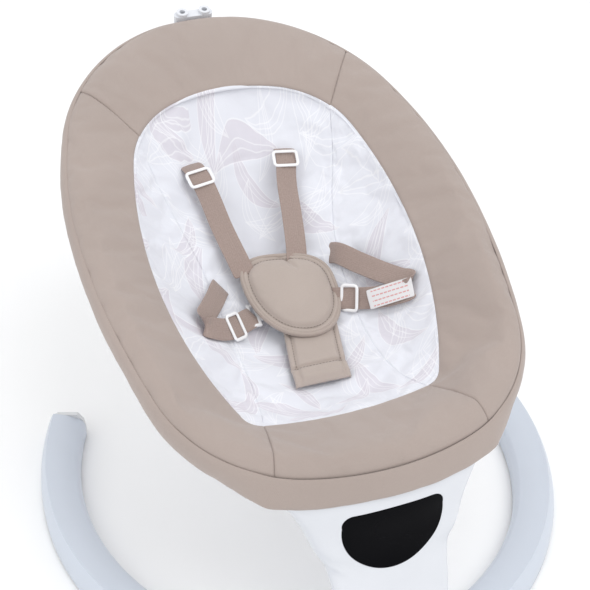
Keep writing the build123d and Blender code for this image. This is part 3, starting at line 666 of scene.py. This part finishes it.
def plastic_material(name, color, roughness, grain=0.00004, coat=0.0):
    """Moulded plastic: slight orange peel and uneven polish."""
    material = new_material(name, color, roughness, Coat_Weight=coat, Coat_Roughness=0.12)
    nodes = Nodes(material)
    where = nodes.coordinates()
    fine = nodes.noise(where, 1400.0, 2.0)
    broad = nodes.noise(where, 14.0, 3.0)
    nodes.paint(nodes.bump(fine, grain, 0.6), "Normal")
    low, high = roughness - 0.05, roughness + 0.07
    rough = nodes.ramp(broad, (0.3, (low,) * 3), (0.7, (high,) * 3))
    nodes.paint(rough, "Roughness")
    shaded = nodes.ramp(broad, (0.3, scaled(color, 0.985)), (0.7, scaled(color, 1.015)))
    nodes.paint(shaded)
    return material


def gloss_material(name, color):
    """Dark polished window with faint smudges."""
    material = new_material(name, color, 0.1, Specular_IOR_Level=0.04)
    nodes = Nodes(material)
    smudge = nodes.noise(nodes.coordinates(), 40.0, 4.0)
    nodes.paint(nodes.ramp(smudge, (0.35, (0.06,) * 3), (0.7, (0.16,) * 3)), "Roughness")
    return material


def metal_material(name, color, roughness, grain=600.0):
    """Drawn or ground metal with fine streaks."""
    material = new_material(name, color, roughness, Metallic=1.0)
    nodes = Nodes(material)
    where = nodes.coordinates()
    streaks = nodes.noise(where, grain, 3.0)
    rough = nodes.ramp(streaks, (0.3, (roughness - 0.08,) * 3), (0.7, (roughness + 0.12,) * 3))
    nodes.paint(rough, "Roughness")
    nodes.paint(nodes.bump(streaks, 0.00003, 0.5), "Normal")
    return material


def tag_material():
    """White satin tag printed with plain bars, no lettering."""
    material = fabric_material("tag_print", (0.82, 0.81, 0.82), pitch=0.0006, shade=0.02)
    nodes = Nodes(material)
    where = nodes.print_place()
    split = nodes.add("ShaderNodeSeparateXYZ")
    nodes.link(where, split.inputs[0])
    along, up = split.outputs[0], split.outputs[1]
    row = nodes.math("FRACT", nodes.times(up, 4.0))
    in_row = nodes.times(nodes.math("GREATER_THAN", row, 0.35), nodes.math("LESS_THAN", row, 0.6))
    row_number = nodes.math("FLOOR", nodes.times(up, 4.0))
    shifted = nodes.times(row_number, 2.1)
    wave = nodes.math("SINE", nodes.math("MULTIPLY_ADD", along, 70.0, shifted))
    dashes = nodes.math("GREATER_THAN", wave, -0.75)
    past_start = nodes.math("GREATER_THAN", along, 0.1)
    margin = nodes.times(past_start, nodes.math("LESS_THAN", along, 0.9))
    printed = nodes.times(nodes.times(in_row, dashes), margin)
    base = nodes.shader.inputs["Base Color"].links[0].from_socket
    color = nodes.mix(nodes.times(printed, 0.75), base, TAG_INK)
    nodes.paint(color)
    return material


TAG_INK = (0.70, 0.22, 0.20)
BEIGE = (0.396, 0.326, 0.293)
STRAP_BEIGE = (0.373, 0.285, 0.252)
MATERIALS = {
    "border": fabric_material("border_cloth", BEIGE),
    "liner": liner_material(),
    "webbing": webbing_material("strap_webbing", STRAP_BEIGE),
    "pad": fabric_material("pad_cloth", (0.453, 0.383, 0.342)),
    "binding": fabric_material("binding_cloth", (0.42, 0.35, 0.31)),
    "thread": fabric_material("sewing_thread", scaled(BEIGE, 0.62), pitch=0.0005),
    "tag": tag_material(),
    "slide": plastic_material("slide_plastic", (0.88, 0.88, 0.89), 0.3, coat=0.3),
}

NODE_MATERIALS = {
    "ring_plastic": plastic_material("ring_plastic", (0.60, 0.645, 0.72), 0.42, coat=0.15),
    "base_plastic": plastic_material("base_plastic", (0.55, 0.59, 0.65), 0.5),
    "tube_steel": metal_material("tube_steel", (0.56, 0.57, 0.59), 0.36),
    "cap_plastic": plastic_material("cap_plastic", (0.70, 0.71, 0.72), 0.5),
    "pad_rubber": plastic_material("pad_rubber", (0.03, 0.03, 0.032), 0.8, grain=0.0001),
    "inner_plastic": plastic_material("inner_plastic", (0.22, 0.23, 0.25), 0.55),
    "column_plastic": plastic_material("column_plastic", (0.71, 0.725, 0.765), 0.34, coat=0.2),
    "display_gloss": gloss_material("display_gloss", (0.002, 0.002, 0.003)),
    "board": plastic_material("board_laminate", (0.02, 0.16, 0.07), 0.45),
    "black_plastic": plastic_material("black_plastic", (0.02, 0.02, 0.022), 0.5),
    "bright_steel": metal_material("bright_steel", (0.74, 0.74, 0.75), 0.25),
    "copper": metal_material("copper_winding", (0.75, 0.36, 0.18), 0.35, grain=1500.0),
    "magnet": metal_material("magnet_nickel", (0.66, 0.65, 0.62), 0.2),
    "slide_plastic": MATERIALS["slide"],
}


def dress(piece, material):
    """Give a piece of the seat its material and its body."""
    piece.data.materials.clear()
    piece.data.materials.append(MATERIALS[material])
    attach(piece, "seat")
    return piece


def paint_nodes():
    """Better finishes on the CAD nodes that stay."""
    for entry in frame["record"]["subparts"]:
        material = NODE_MATERIALS.get(entry["material_slot"])
        if material is not None:
            node = frame["nodes"][entry["node"]]
            node.data.materials.clear()
            node.data.materials.append(material)


# ---- border panels and hem -------------------------------------------------------

BORDER_THICK = 6
CROWN = 6
PANEL_PITCH = 5
BORDER_ROWS = 20


def border_grid(outer, inner, seed):
    """Top of one border panel in seat coordinates: rows from the rim in, columns along."""
    depth = np.linspace(0, 1, BORDER_ROWS)[:, None, None]
    plan = outer[None] * (1 - depth) + inner[None] * depth
    r = depth[..., 0]
    width = np.linalg.norm(outer - inner, axis=1)[None]
    over_tube = np.clip(1 - r * width / 26, 0, 1)
    slope = np.clip((r * width - 20) / (width - 20), 0, 1)
    height = mouth_height(inner[:, 1])[None] * slope**1.1
    height += CROWN * np.sin(math.pi * r**0.6) - 3.0 * over_tube**2
    calm = 1 - bump_at((1 - r) * width, 14)
    height += calm * (1.4 * wrinkle(plan, 60, seed + 3) + 0.7 * wrinkle(plan, 24, seed + 5))
    return np.concatenate([plan, height[..., None]], axis=2)


def make_borders():
    """Four padded panels round the rim, sewn together along diagonal seams."""
    head_in, head_out, foot_in, foot_out = HEAD_CORNER, HEAD_SEAM_OUT, FOOT_CORNER, FOOT_SEAM_OUT
    panels = {
        "border_head": ((across(head_out), head_out), (across(head_in), head_in), "head"),
        "border_right": ((head_out, foot_out), (head_in, foot_in), "right"),
        "border_foot": ((foot_out, across(foot_out)), (foot_in, across(foot_in)), "foot"),
        "border_left": ((across(foot_out), across(head_out)), (across(foot_in), across(head_in)), "left"),
    }
    for seed, (node, (outer_ends, inner_ends, side)) in enumerate(panels.items()):
        length = np.linalg.norm(np.subtract(*outer_ends))
        count = int(1.15 * length / PANEL_PITCH)
        outer = portion(RIM_LOOP, *outer_ends, count)
        inner = portion(MOUTH_LOOP, *inner_ends, count)
        grid = settled(border_grid(outer, inner, seed + 1), BORDER_SPARE, BORDER_PRESSURE, BORDER_CAP)
        piece = closed_sheet(f"cover_{side}", place(tucked(grid)), BORDER_THICK * MM)
        subdivide(piece)
        dress(piece, "border")
        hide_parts(node)


# The hem's section: outwards from the rim's seam, and down
HEM_PROFILE = (
    (-2.5, -2.0), (0.2, -2.6), (2.6, -4.2), (4.4, -8), (5.0, -13), (4.2, -18), (2.0, -22),
    (-2, -24), (-8, -23.5), (-15, -22),
)
HEM_THICK = 1.5
HEM_COUNT = 420
HEM_CORNER = (150, -250)


def make_hem():
    """The cover's hem: a band turned down and under the rim all the way round."""
    plan = spread(RIM_LOOP, HEM_COUNT, closed=True)
    along = np.roll(plan, -1, axis=0) - np.roll(plan, 1, axis=0)
    along = unit(along)
    out_x, out_s = -along[:, 1], along[:, 0]
    x, s = plan.T
    from_corner = np.hypot(np.abs(x) - HEM_CORNER[0], s - HEM_CORNER[1])
    corner = bump_at(from_corner, 120)
    at_head = np.clip((s - 120) / 200, 0, 1)
    at_foot = np.clip((-s - 150) / 120, 0, 1)
    at_column = at_foot * np.clip((150 - np.abs(x)) / 40, 0, 1)
    longer = 1 + 0.34 * corner - 0.15 * at_head
    turned_in = 1 - np.maximum(at_column, 0.7 * corner)
    at_bracket = bump_at(x, 30) * (s > 0)
    ripple = 1.0 * wrinkle(plan, 30, 11) + 0.5 * wrinkle(plan, 10, 12)
    rows = []
    for offset, height in HEM_PROFILE:
        share = -height / 24
        wide = offset * (1 - 0.5 * at_head) if offset > 0 else offset * turned_in
        out = wide * (1 - at_bracket) + 2.5 * corner * share + 15.5 * at_column * share**2 + ripple * share
        drop = height * longer - 3.0 * at_bracket * (1 - share)
        rows.append(np.stack([x + out_x * out, s + out_s * out, drop], axis=1))
    piece = closed_sheet("cover_hem", place(np.array(rows)), HEM_THICK * MM, wrap=True)
    subdivide(piece)
    dress(piece, "border")


# ---- liner -----------------------------------------------------------------------

LINER_THICK = 4
UNDER_BORDER = 0.8

# The long seams of the liner, from head to foot (x, s), and how many points a panel has
SIDE_SEAM = (
    HEAD_CORNER, (108, 130), (92, 77), (81, 31), (76, -20), (74, -61), (73, -95), (75, -140), (82, -180),
    FOOT_CORNER,
)
SEAM_COUNT, MIDDLE_COUNT, SIDE_COUNT = 110, 52, 28
CROSS_SEAM_S, CROSS_SEAM_HALF = 158, 62


def side_seam():
    """The seam between the middle and a side of the liner, from head to foot."""
    return smooth_path(SIDE_SEAM, SEAM_COUNT)


def store_print_places(piece, flat):
    """Store where each point of a piece lies on its flat printed or woven cloth, in metres."""
    attribute = piece.data.attributes.new("print_place", "FLOAT_VECTOR", "POINT")
    attribute.data.foreach_set("vector", np.asarray(flat, np.float32).ravel())


def print_places(piece, grid):
    """Store where each point of a sheet and its underside lies on the flat printed cloth."""
    flat = grid.copy()
    flat[..., 0] = grid[..., 0] * 1.12
    flat[..., 1] = grid[..., 1] - 0.35 * grid[..., 2]
    flat[..., 2] = 0
    flat = flat.reshape(-1, 3) * MM
    store_print_places(piece, np.concatenate([flat, flat]))


def liner_piece(name, plan, seed, folds):
    """One panel of the liner from its plan grid (x, s)."""
    height = bowl(plan[..., 0], plan[..., 1])
    width = np.linalg.norm(np.diff(plan, axis=1), axis=2).sum(axis=1)[:, None]
    length = np.linalg.norm(np.diff(plan, axis=0), axis=2).sum(axis=0)[None]
    u = np.linspace(0, 1, plan.shape[1])[None]
    v = np.linspace(0, 1, plan.shape[0])[:, None]
    edge = np.minimum(np.minimum(u, 1 - u) * width, np.minimum(v, 1 - v) * length)
    calm = 1 - bump_at(edge, 8)
    height = height - UNDER_BORDER
    height = height + calm * 2.2 * wrinkle(plan, 45, seed)
    height = height + calm * 1.5 * wrinkle(plan, 20, seed + 1, (1.6, 0.8, 1))
    height = height + calm * folds(plan)
    grid = np.concatenate([plan, height[..., None]], axis=2)
    grid = tucked(settled(grid, LINER_SPARE, LINER_PRESSURE, LINER_CAP))
    piece = closed_sheet(name, place(grid), LINER_THICK * MM)
    print_places(piece, grid)
    subdivide(piece)
    dress(piece, "liner")
    return piece


def middle_folds(plan):
    """The seam across the head end, and soft folds that cross the seat below it."""
    x, s = plan[..., 0], plan[..., 1]
    seam = bump_at(s - CROSS_SEAM_S, 3) * (np.abs(x) < CROSS_SEAM_HALF)
    folds = creases(s / 9 + 1.6 * wrinkle(plan, 50, 91)) * bump_at(s + 160, 45)
    gathers = creases(s / 5 + 2.2 * wrinkle(plan, 40, 93)) * bump_at(np.abs(x) - 78, 16)
    return -2.2 * seam + 1.7 * folds + 1.5 * gathers


def creases(phase):
    """Rounded folds with narrow valleys between them."""
    return 0.5 - np.abs(np.cos(phase / 2)) ** 3


def side_folds(plan):
    """Long shallow folds that fan out across a side of the bowl."""
    turn = np.arctan2(plan[..., 1] + 60, np.abs(plan[..., 0]) - 30)
    return 2.0 * creases(turn * 22 + 2.6 * wrinkle(plan, 60, 92))


def make_liner():
    """Middle and side panels of the bowl, sewn along two long seams."""
    seam = side_seam()
    head = portion(MOUTH_LOOP, across(HEAD_CORNER), HEAD_CORNER, MIDDLE_COUNT)
    foot = portion(MOUTH_LOOP, FOOT_CORNER, across(FOOT_CORNER), MIDDLE_COUNT)[::-1]
    v = np.linspace(0, 1, SEAM_COUNT)[:, None, None]
    u = np.linspace(0, 1, MIDDLE_COUNT)[None, :, None]
    between_seams = (seam * (-1, 1))[:, None] * (1 - u) + seam[:, None] * u
    between_ends = head[None] * (1 - v) + foot[None] * v
    corners = (head[0] * (1 - u) + head[-1] * u) * (1 - v) + (foot[0] * (1 - u) + foot[-1] * u) * v
    middle = liner_piece("liner_middle", between_seams + between_ends - corners, 21, middle_folds)
    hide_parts("seat_liner")
    inner = portion(MOUTH_LOOP, HEAD_CORNER, FOOT_CORNER, SEAM_COUNT)
    w = np.linspace(0, 1, SIDE_COUNT)[None, :, None]
    for name, side, seed in (("liner_right", 1, 31), ("liner_left", -1, 41)):
        plan = (seam[:, None] * (1 - w) + inner[:, None] * w) * (side, 1)
        liner_piece(name, plan, seed, side_folds)


# ---- straps ----------------------------------------------------------------------

WEB_HALF = 12.5
WEB_THICK = 1.5
WEB_PITCH = 3.5

# Half the section of a strap: across and up, as shares of half its width and its thickness
WEB_SECTION = (
    (-1, 0.5), (-0.96, 0.92), (-0.8, 1), (0, 1.1), (0.8, 1), (0.96, 0.92),
    (1, 0.5), (0.96, 0.08), (0.8, 0), (0, 0), (-0.8, 0), (-0.96, 0.08),
)


def smooth_path(points, count):
    """Evenly numbered points on a smooth curve through control points."""
    points = np.array(points, float)
    run = run_along(points)
    where = np.linspace(0, run[-1], count)
    return np.stack([smooth_line(where, run, column) for column in points.T], axis=1)


def ribbon(name, stations, half=WEB_HALF, node=None):
    """Webbing through stations of seat coordinates, each a place and its width's direction."""
    places = np.array([station[0] for station in stations], float)
    widths = np.array([station[1] for station in stations], float)
    length = np.linalg.norm(np.diff(places, axis=0), axis=1).sum()
    count = max(8, int(length / WEB_PITCH))
    path = smooth_path(places, count)
    run = run_along(places)
    where = np.linspace(0, run[-1], count)
    width = np.stack([np.interp(where, run, column) for column in widths.T], axis=1)
    along = np.gradient(path, axis=0)
    along = unit(along)
    width -= along * (width * along).sum(axis=1, keepdims=True)
    width = unit(width)
    normal = np.cross(width, along)
    rings = [path + width * half * a + normal * WEB_THICK * (b - 0.5) for a, b in WEB_SECTION]
    sides = len(WEB_SECTION)
    faces = grid_faces(count, sides, wrap=True)
    faces += end_caps(count, sides)
    piece = mesh_object(name, place(np.stack(rings, axis=1)).reshape(-1, 3), faces)
    outward(piece)
    run = run_along(path)
    flat = [(a * half * MM, run[i] * MM, 0) for i in range(count) for a, _ in WEB_SECTION]
    store_print_places(piece, flat)
    subdivide(piece)
    dress(piece, "webbing")
    if node is not None:
        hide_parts(node)
    return piece


# Slides: the frame's length across the strap, along it, and its bar
SLIDE_ACROSS, SLIDE_ALONG, SLIDE_CORNER, SLIDE_BAR = 28, 19, 3.2, 2.0
SLIDE_POINTS, SLIDE_SIDES = 56, 10

# The bar across its middle, under the strap
BAR_BELOW, BAR_RADIUS, BAR_RINGS = 4.4, 1.3, 12


def make_slide(name, node, centre, along, width):
    """A white slide: a rounded rectangular frame with a bar that the strap goes over."""
    along, width = np.array(along, float), np.array(width, float)
    along = unit(along)
    width -= along * (width @ along)
    width = unit(width)
    normal = np.cross(along, width)
    normal *= np.sign(normal[2])
    quarter = np.linspace(0, math.pi / 2, 7)
    outline = []
    for turn, (a, b) in enumerate(((1, 1), (-1, 1), (-1, -1), (1, -1))):
        angle = quarter + turn * math.pi / 2
        corner = (a * (SLIDE_ALONG / 2 - SLIDE_CORNER), b * (SLIDE_ACROSS / 2 - SLIDE_CORNER))
        arc = np.stack([np.cos(angle), np.sin(angle)], axis=1)
        outline.extend(np.array(corner) + SLIDE_CORNER * arc)
    loop = spread(outline, SLIDE_POINTS, closed=True)
    points = []
    for k, (a, b) in enumerate(loop):
        ahead = loop[(k + 1) % len(loop)] - loop[k - 1]
        ahead = unit(ahead)
        side = along * ahead[1] - width * ahead[0]
        middle = np.array(centre) + along * a + width * b
        for turn in np.linspace(0, 2 * math.pi, SLIDE_SIDES, endpoint=False):
            points.append(middle + SLIDE_BAR * (math.cos(turn) * side + 0.75 * math.sin(turn) * normal))
    faces = grid_faces(len(loop), SLIDE_SIDES, wrap=True, closed=True)
    first = len(points)
    reach = np.linspace(-SLIDE_ACROSS / 2, SLIDE_ACROSS / 2, BAR_RINGS)
    for step in reach:
        middle = np.array(centre) + width * step - normal * BAR_BELOW
        for turn in np.linspace(0, 2 * math.pi, SLIDE_SIDES, endpoint=False):
            points.append(middle + BAR_RADIUS * (math.cos(turn) * along + 0.6 * math.sin(turn) * normal))
    faces += grid_faces(BAR_RINGS, SLIDE_SIDES, wrap=True, offset=first)
    faces += end_caps(BAR_RINGS, SLIDE_SIDES, first)
    piece = mesh_object(name, place(points), faces)
    outward(piece)
    subdivide(piece)
    dress(piece, "slide")
    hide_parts(node)
    return piece


# Shoulder straps: place on the strap from the slot to the pad, and how far the end leans in
SHOULDER_PLACES = (
    (60.5, 166, -68), (59, 157, -57), (57, 148, -52.5), (55.5, 139, -52), (54, 131, -52.5), (52, 123, -55.5),
    (50, 112, -60), (46, 70, -72), (40, 25, -82), (37, 8, -88),
)
SHOULDER_SIDES = (("right", 1, 11, 5), ("left", -1, 1, 0))


def make_shoulder_straps():
    """Two straps from their slots down to the buckle pad, each through its slide."""
    slot_s, end_s = SHOULDER_PLACES[0][1], SHOULDER_PLACES[-1][1]
    for side, sign, lean, slide_up in SHOULDER_SIDES:
        stations = []
        for x, s, h in SHOULDER_PLACES:
            shift = lean * (slot_s - s) / (slot_s - end_s)
            stations.append(((sign * (x - shift), s, h), (1, 0, -0.12 * sign)))
        ribbon(f"strap_shoulder_{side}", stations, node=f"shoulder_strap_{side}")
        slide_place = (sign * (54 - 0.2 * lean), 130 + slide_up, -50.6 + 0.3 * slide_up)
        lie = (-0.15 * sign, -1, -0.22)
        make_slide(f"slide_shoulder_{side}", f"shoulder_slide_{side}", slide_place, lie, (1, 0, 0))


# Waist straps: each station's place and the direction of the strap's width there
RIGHT_WAIST = (
    ((70, 22, -96), (0.3, 0.85, 0.4)),
    ((74, 13, -86), (0.3, 0.8, 0.45)),
    ((90, -15, -75), (0.5, 0.65, 0.48)),
    ((108, -44, -64), (0.75, 0.35, 0.48)),
    ((119, -60, -57), (0.8, 0.3, 0.48)),
    ((126, -70, -51), (0.5, 0.7, 0.5)),
    ((121, -80, -50), (0.1, 0.84, 0.53)),
    ((107, -75, -63), (0, 0.84, 0.53)),
    ((91, -65, -77), (0, 0.84, 0.53)),
    ((79, -57, -85), (0, 0.84, 0.53)),
    ((67, -50, -90), (0, 0.84, 0.5)),
    ((56, -43, -95), (0.1, 0.9, 0.4)),
    ((42, -35, -102), (0.2, 0.95, 0.2)),
)
LEFT_WAIST = (
    ((-62, 12, -104), (0.55, -0.7, -0.45)),
    ((-67, 3, -94), (0.55, -0.7, -0.45)),
    ((-80, -18, -84), (0.5, -0.72, -0.48)),
    ((-94, -38, -75), (0.4, -0.75, -0.5)),
    ((-103, -51, -70), (0.25, -0.8, -0.5)),
    ((-103, -59, -69), (0.15, -0.83, -0.5)),
    ((-94, -60, -76), (0.1, -0.83, -0.5)),
    ((-82, -59, -84), (0.1, -0.83, -0.5)),
    ((-72, -56, -90), (0.15, -0.83, -0.5)),
    ((-62, -50, -95), (0.2, -0.85, -0.45)),
    ((-50, -43, -100), (0.3, -0.9, -0.3)),
    ((-38, -36, -104), (0.4, -0.9, -0.1)),
)


# Slides on the waist straps: side, centre, direction along the strap and across it
WAIST_SLIDES = (
    ("right", (67, -51, -88), (0.65, -0.6, 0.45), (-0.04, -0.82, -0.57)),
    ("left", (-66, -54, -91), (0.8, 0.43, -0.42), (0.21, -0.84, -0.49)),
)


def make_waist_straps():
    """Two straps that leave their slots, fold back, pass a slide and go under the pad."""
    ribbon("strap_waist_right", RIGHT_WAIST, node="waist_strap_right")
    ribbon("strap_waist_left", LEFT_WAIST, node="waist_strap_left")
    for side, centre, along, width in WAIST_SLIDES:
        make_slide(f"slide_waist_{side}", f"waist_slide_{side}", centre, along, width)


TAG_CORNERS = ((84, -55, -75), (124, -73, -40), (124, -91, -52), (84, -74, -86))
TAG_LIFT = 1.8


def make_tag():
    """The tag sewn round the right-hand waist strap, printed with plain bars."""
    near_top, far_top, far_low, near_low = np.array(TAG_CORNERS, float)
    u = np.linspace(0, 1, 16)[None, :, None]
    v = np.linspace(0, 1, 10)[:, None, None]
    grid = (near_top * (1 - u) + far_top * u) * (1 - v) + (near_low * (1 - u) + far_low * u) * v
    facing = np.cross(far_top - near_top, near_low - near_top)
    facing *= -np.sign(facing[1]) / np.linalg.norm(facing)
    wave = TAG_LIFT + 1.2 * np.sin(math.pi * u) + 0.4 * np.sin(5 * v + 3 * u)
    grid = grid + facing * wave
    piece = closed_sheet("strap_label", place(grid), 0.5 * MM)
    u, v = np.meshgrid(np.linspace(0, 1, 16), np.linspace(1, 0, 10))
    flat = np.stack([u, v, 0 * u], axis=2).reshape(-1, 3)
    store_print_places(piece, np.concatenate([flat, flat]))
    subdivide(piece)
    dress(piece, "tag")
    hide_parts("strap_tag")


# ---- pads ------------------------------------------------------------------------

PAD_CENTRE = (10, -26)
PAD_TURN = math.radians(-9)
PAD_HALF_WIDTH = 52
PAD_WIDEST, PAD_TO_TOP, PAD_TO_FOOT = 12, 37, 66
PAD_LEAN = -0.16
PAD_COUNT, PAD_RINGS = 160, 30
PAD_DOME = 10
PAD_BINDING = 2.7
PAD_CHANNEL = 7
DART_START, DART_END = np.array((-5.0, 44.0)), np.array((6.0, 26.0))


def pad_outline(share):
    """Shield-shaped outline of the buckle pad at a share of its full size, as (x, s)."""
    angle = np.linspace(0, 2 * math.pi, PAD_COUNT, endpoint=False)
    x, s = np.sin(angle), np.cos(angle)
    power = np.where(s > 0, 2 / 3.1, 2 / 2.1)
    x = PAD_HALF_WIDTH * np.sign(x) * np.abs(x) ** power
    s = np.sign(s) * np.abs(s) ** power * np.where(s > 0, PAD_TO_TOP, PAD_TO_FOOT)
    return np.stack([share * (x + PAD_LEAN * (s + PAD_WIDEST)), PAD_WIDEST * share + share * s], axis=1)


def turned_pad(points):
    """Pad's own (x, s) turned and moved to its place on the seat."""
    c, n = math.cos(PAD_TURN), math.sin(PAD_TURN)
    x, s = points[..., 0], points[..., 1]
    return np.stack([PAD_CENTRE[0] + c * x - n * s, PAD_CENTRE[1] + n * x + c * s], axis=-1)


def pad_base(plan):
    """Height of the pad's edge, over the buckle and the straps."""
    return -87.5 + 0.13 * plan[..., 1] - 0.0011 * (plan[..., 0] - PAD_CENTRE[0]) ** 2


def puffed(depth):
    """Height of the pad's top over its edge at a distance inside the edge."""
    return PAD_DOME * (1 - np.exp(-depth / 12)) + 2.5 * np.sin(np.clip(depth / 50, 0, 1) * math.pi / 2)


def dart(own):
    """How deep a point of the pad lies in its sewn dart, 0 to 1."""
    line = DART_END - DART_START
    reach = np.clip(((own - DART_START) @ line) / (line @ line), 0, 1)
    away = np.linalg.norm(own - (DART_START + reach[..., None] * line), axis=-1)
    return bump_at(away, 2.6) * (1 - 0.7 * reach)


def make_buckle_pad():
    """Stuffed pad over the buckle with a bound edge, a sewn channel and a dart."""
    shares = np.sin(np.linspace(math.pi / 2, 0.02, PAD_RINGS))
    own = np.array([pad_outline(share) for share in shares])
    plan = turned_pad(own)
    depth = (1 - shares[:, None]) * PAD_HALF_WIDTH
    height = pad_base(plan) + puffed(depth)
    height -= 3.4 * bump_at(depth - PAD_CHANNEL, 1.9) + 6.0 * dart(own)
    height += 1.0 * wrinkle(plan, 18, 61)
    height += 0.8 * wrinkle(plan, 6, 62) * bump_at(depth - PAD_CHANNEL - 4, 6)
    grid = np.concatenate([plan, height[..., None]], axis=2)
    low = np.concatenate([plan[:1], pad_base(plan[:1])[..., None] - 3], axis=2)
    grid = np.concatenate([low, grid])
    rows = len(grid)
    faces = grid_faces(rows, PAD_COUNT, wrap=True)
    faces += end_caps(rows, PAD_COUNT)
    piece = mesh_object("buckle_cushion", place(grid).reshape(-1, 3), faces)
    outward(piece)
    dress(piece, "pad")
    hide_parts("buckle_pad")
    edge = turned_pad(pad_outline(0.99))
    bound = np.concatenate([edge, pad_base(edge)[:, None] - 0.3], axis=1)
    binding = closed_tube("buckle_cushion_binding", bound, PAD_BINDING, 10, 1.3)
    dress(subdivide(binding), "binding")
    channel = turned_pad(pad_outline(1 - PAD_CHANNEL / PAD_HALF_WIDTH))
    sewn = pad_base(channel) + puffed(PAD_CHANNEL) - 2.6
    loop = np.concatenate([channel, sewn[:, None]], axis=1)
    stitches("buckle_cushion_stitches", np.concatenate([loop, loop[:1]]))


CROTCH_HALF = 31
CROTCH_LINE = ((19, -58), (14, -85), (7, -121), (4.5, -142))
CROTCH_SEAM = 0.72
CROTCH_EDGE = 6.5


def make_crotch_strap():
    """Padded strap from under the buckle pad to the seat, bound along its sides."""
    rows, columns = 60, 44
    line = smooth_path(CROTCH_LINE, rows)
    v = np.linspace(0, 1, rows)[:, None]
    u = np.linspace(-1, 1, columns)[None]
    x = line[:, :1] + CROTCH_HALF * u
    s = line[:, 1:] - 0.03 * CROTCH_HALF * u + 0 * x
    from_side = CROTCH_HALF * (1 - np.abs(u))
    lift = 5 + 4.0 * (1 - np.exp(-from_side / 5)) - 2.6 * bump_at(from_side - CROTCH_EDGE, 1.7)
    seam = bump_at((v - CROTCH_SEAM) * 87, 2.2)
    lift = lift * np.clip((1.03 - v) / 0.12, 0.25, 1) - 3.4 * seam
    plan = np.stack([x, s], axis=2)
    pucker = bump_at((v - CROTCH_SEAM) * 87, 9) * wrinkle(plan * (1, 0.3), 5, 71)
    height = bowl(plan[..., 0] * 0.6, plan[..., 1]) + lift + 0.5 * wrinkle(plan, 14, 72) + 0.5 * pucker
    grid = np.concatenate([plan, height[..., None]], axis=2)
    piece = closed_sheet("crotch_cushion", place(tucked(grid, 0.8, 3.5)), 5 * MM)
    subdivide(piece)
    dress(piece, "pad")
    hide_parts("crotch_strap")
    for side, column in (("left", 4), ("right", -5)):
        line = grid[4:int(rows * CROTCH_SEAM), column] + (0, 0, 0.5)
        stitches(f"crotch_stitches_{side}", line)
    seam_row = grid[int(rows * CROTCH_SEAM), 2:-2] + (0, 0, 0.6)
    stitches("crotch_stitches_seam", seam_row)


# ---- stage, light and camera -----------------------------------------------------

CAMERA_PLACE = (-0.3446, -0.9425, 0.9447)
VIEW_AZIMUTH, VIEW_ELEVATION = -20.46, 35.94
LENS, SHIFT_UP = 67.97, 0.0254


FLOOR_HALF = 12


def make_camera():
    """Camera in front of the seat, above it and to its left."""
    data = bpy.data.cameras.new("camera")
    data.lens = LENS
    data.shift_y = SHIFT_UP
    camera = bpy.data.objects.new("camera", data)
    bpy.context.scene.collection.objects.link(camera)
    azimuth, elevation = math.radians(VIEW_AZIMUTH), math.radians(VIEW_ELEVATION)
    back = Vector(
        (
            math.sin(azimuth) * math.cos(elevation),
            -math.cos(azimuth) * math.cos(elevation),
            math.sin(elevation),
        )
    )
    camera.location = CAMERA_PLACE
    camera.rotation_euler = (-back).to_track_quat("-Z", "Y").to_euler()
    bpy.context.scene.camera = camera


def area_light(name, place, target, size, power):
    """Round soft light that points at a target."""
    data = bpy.data.lights.new(name, "AREA")
    data.shape = "DISK"
    data.size = size
    data.energy = power
    light = bpy.data.objects.new(name, data)
    bpy.context.scene.collection.objects.link(light)
    light.location = place
    light.rotation_euler = (Vector(target) - Vector(place)).to_track_quat("-Z", "Y").to_euler()


LIGHT_TARGET = (0, 0, 0.25)
WORLD_STRENGTH = 0.87

# Studio lights: name, place, size in metres and power in watts
STUDIO_LIGHTS = (
    ("key", (0.7, -1.0, 2.3), 2.0, 19),
    ("fill", (-1.8, -0.6, 1.6), 2.4, 9),
    ("rim", (0.3, 1.8, 1.6), 1.6, 5),
)


def make_stage():
    """Pale floor and soft studio light."""
    corners = [(FLOOR_HALF * x, FLOOR_HALF * y, 0) for x, y in ((-1, -1), (1, -1), (1, 1), (-1, 1))]
    floor = mesh_object("floor", corners, [(0, 1, 2, 3)], False)
    floor.location.z = cad_box[0][2]
    floor_material = new_material("floor_paint", (0.96, 0.96, 0.96), 0.9)
    nodes = Nodes(floor_material)
    tone = nodes.ramp(nodes.noise(nodes.coordinates(), 3.0), (0.3, (0.965,) * 3), (0.7, (0.975,) * 3))
    nodes.paint(tone)
    floor.data.materials.append(floor_material)
    world = bpy.data.worlds.new("studio")
    world.use_nodes = True
    world.node_tree.nodes["Background"].inputs["Color"].default_value = (0.98, 0.99, 1.0, 1)
    world.node_tree.nodes["Background"].inputs["Strength"].default_value = WORLD_STRENGTH
    bpy.context.scene.world = world
    for name, light_place, size, power in STUDIO_LIGHTS:
        area_light(name, light_place, LIGHT_TARGET, size, power)
    bpy.context.scene.view_settings.view_transform = "Standard"
    bpy.context.scene.view_settings.look = "None"


paint_nodes()
make_borders()
make_hem()
make_liner()
make_shoulder_straps()
make_waist_straps()
make_tag()
make_buckle_pad()
make_crotch_strap()
make_camera()
make_stage()
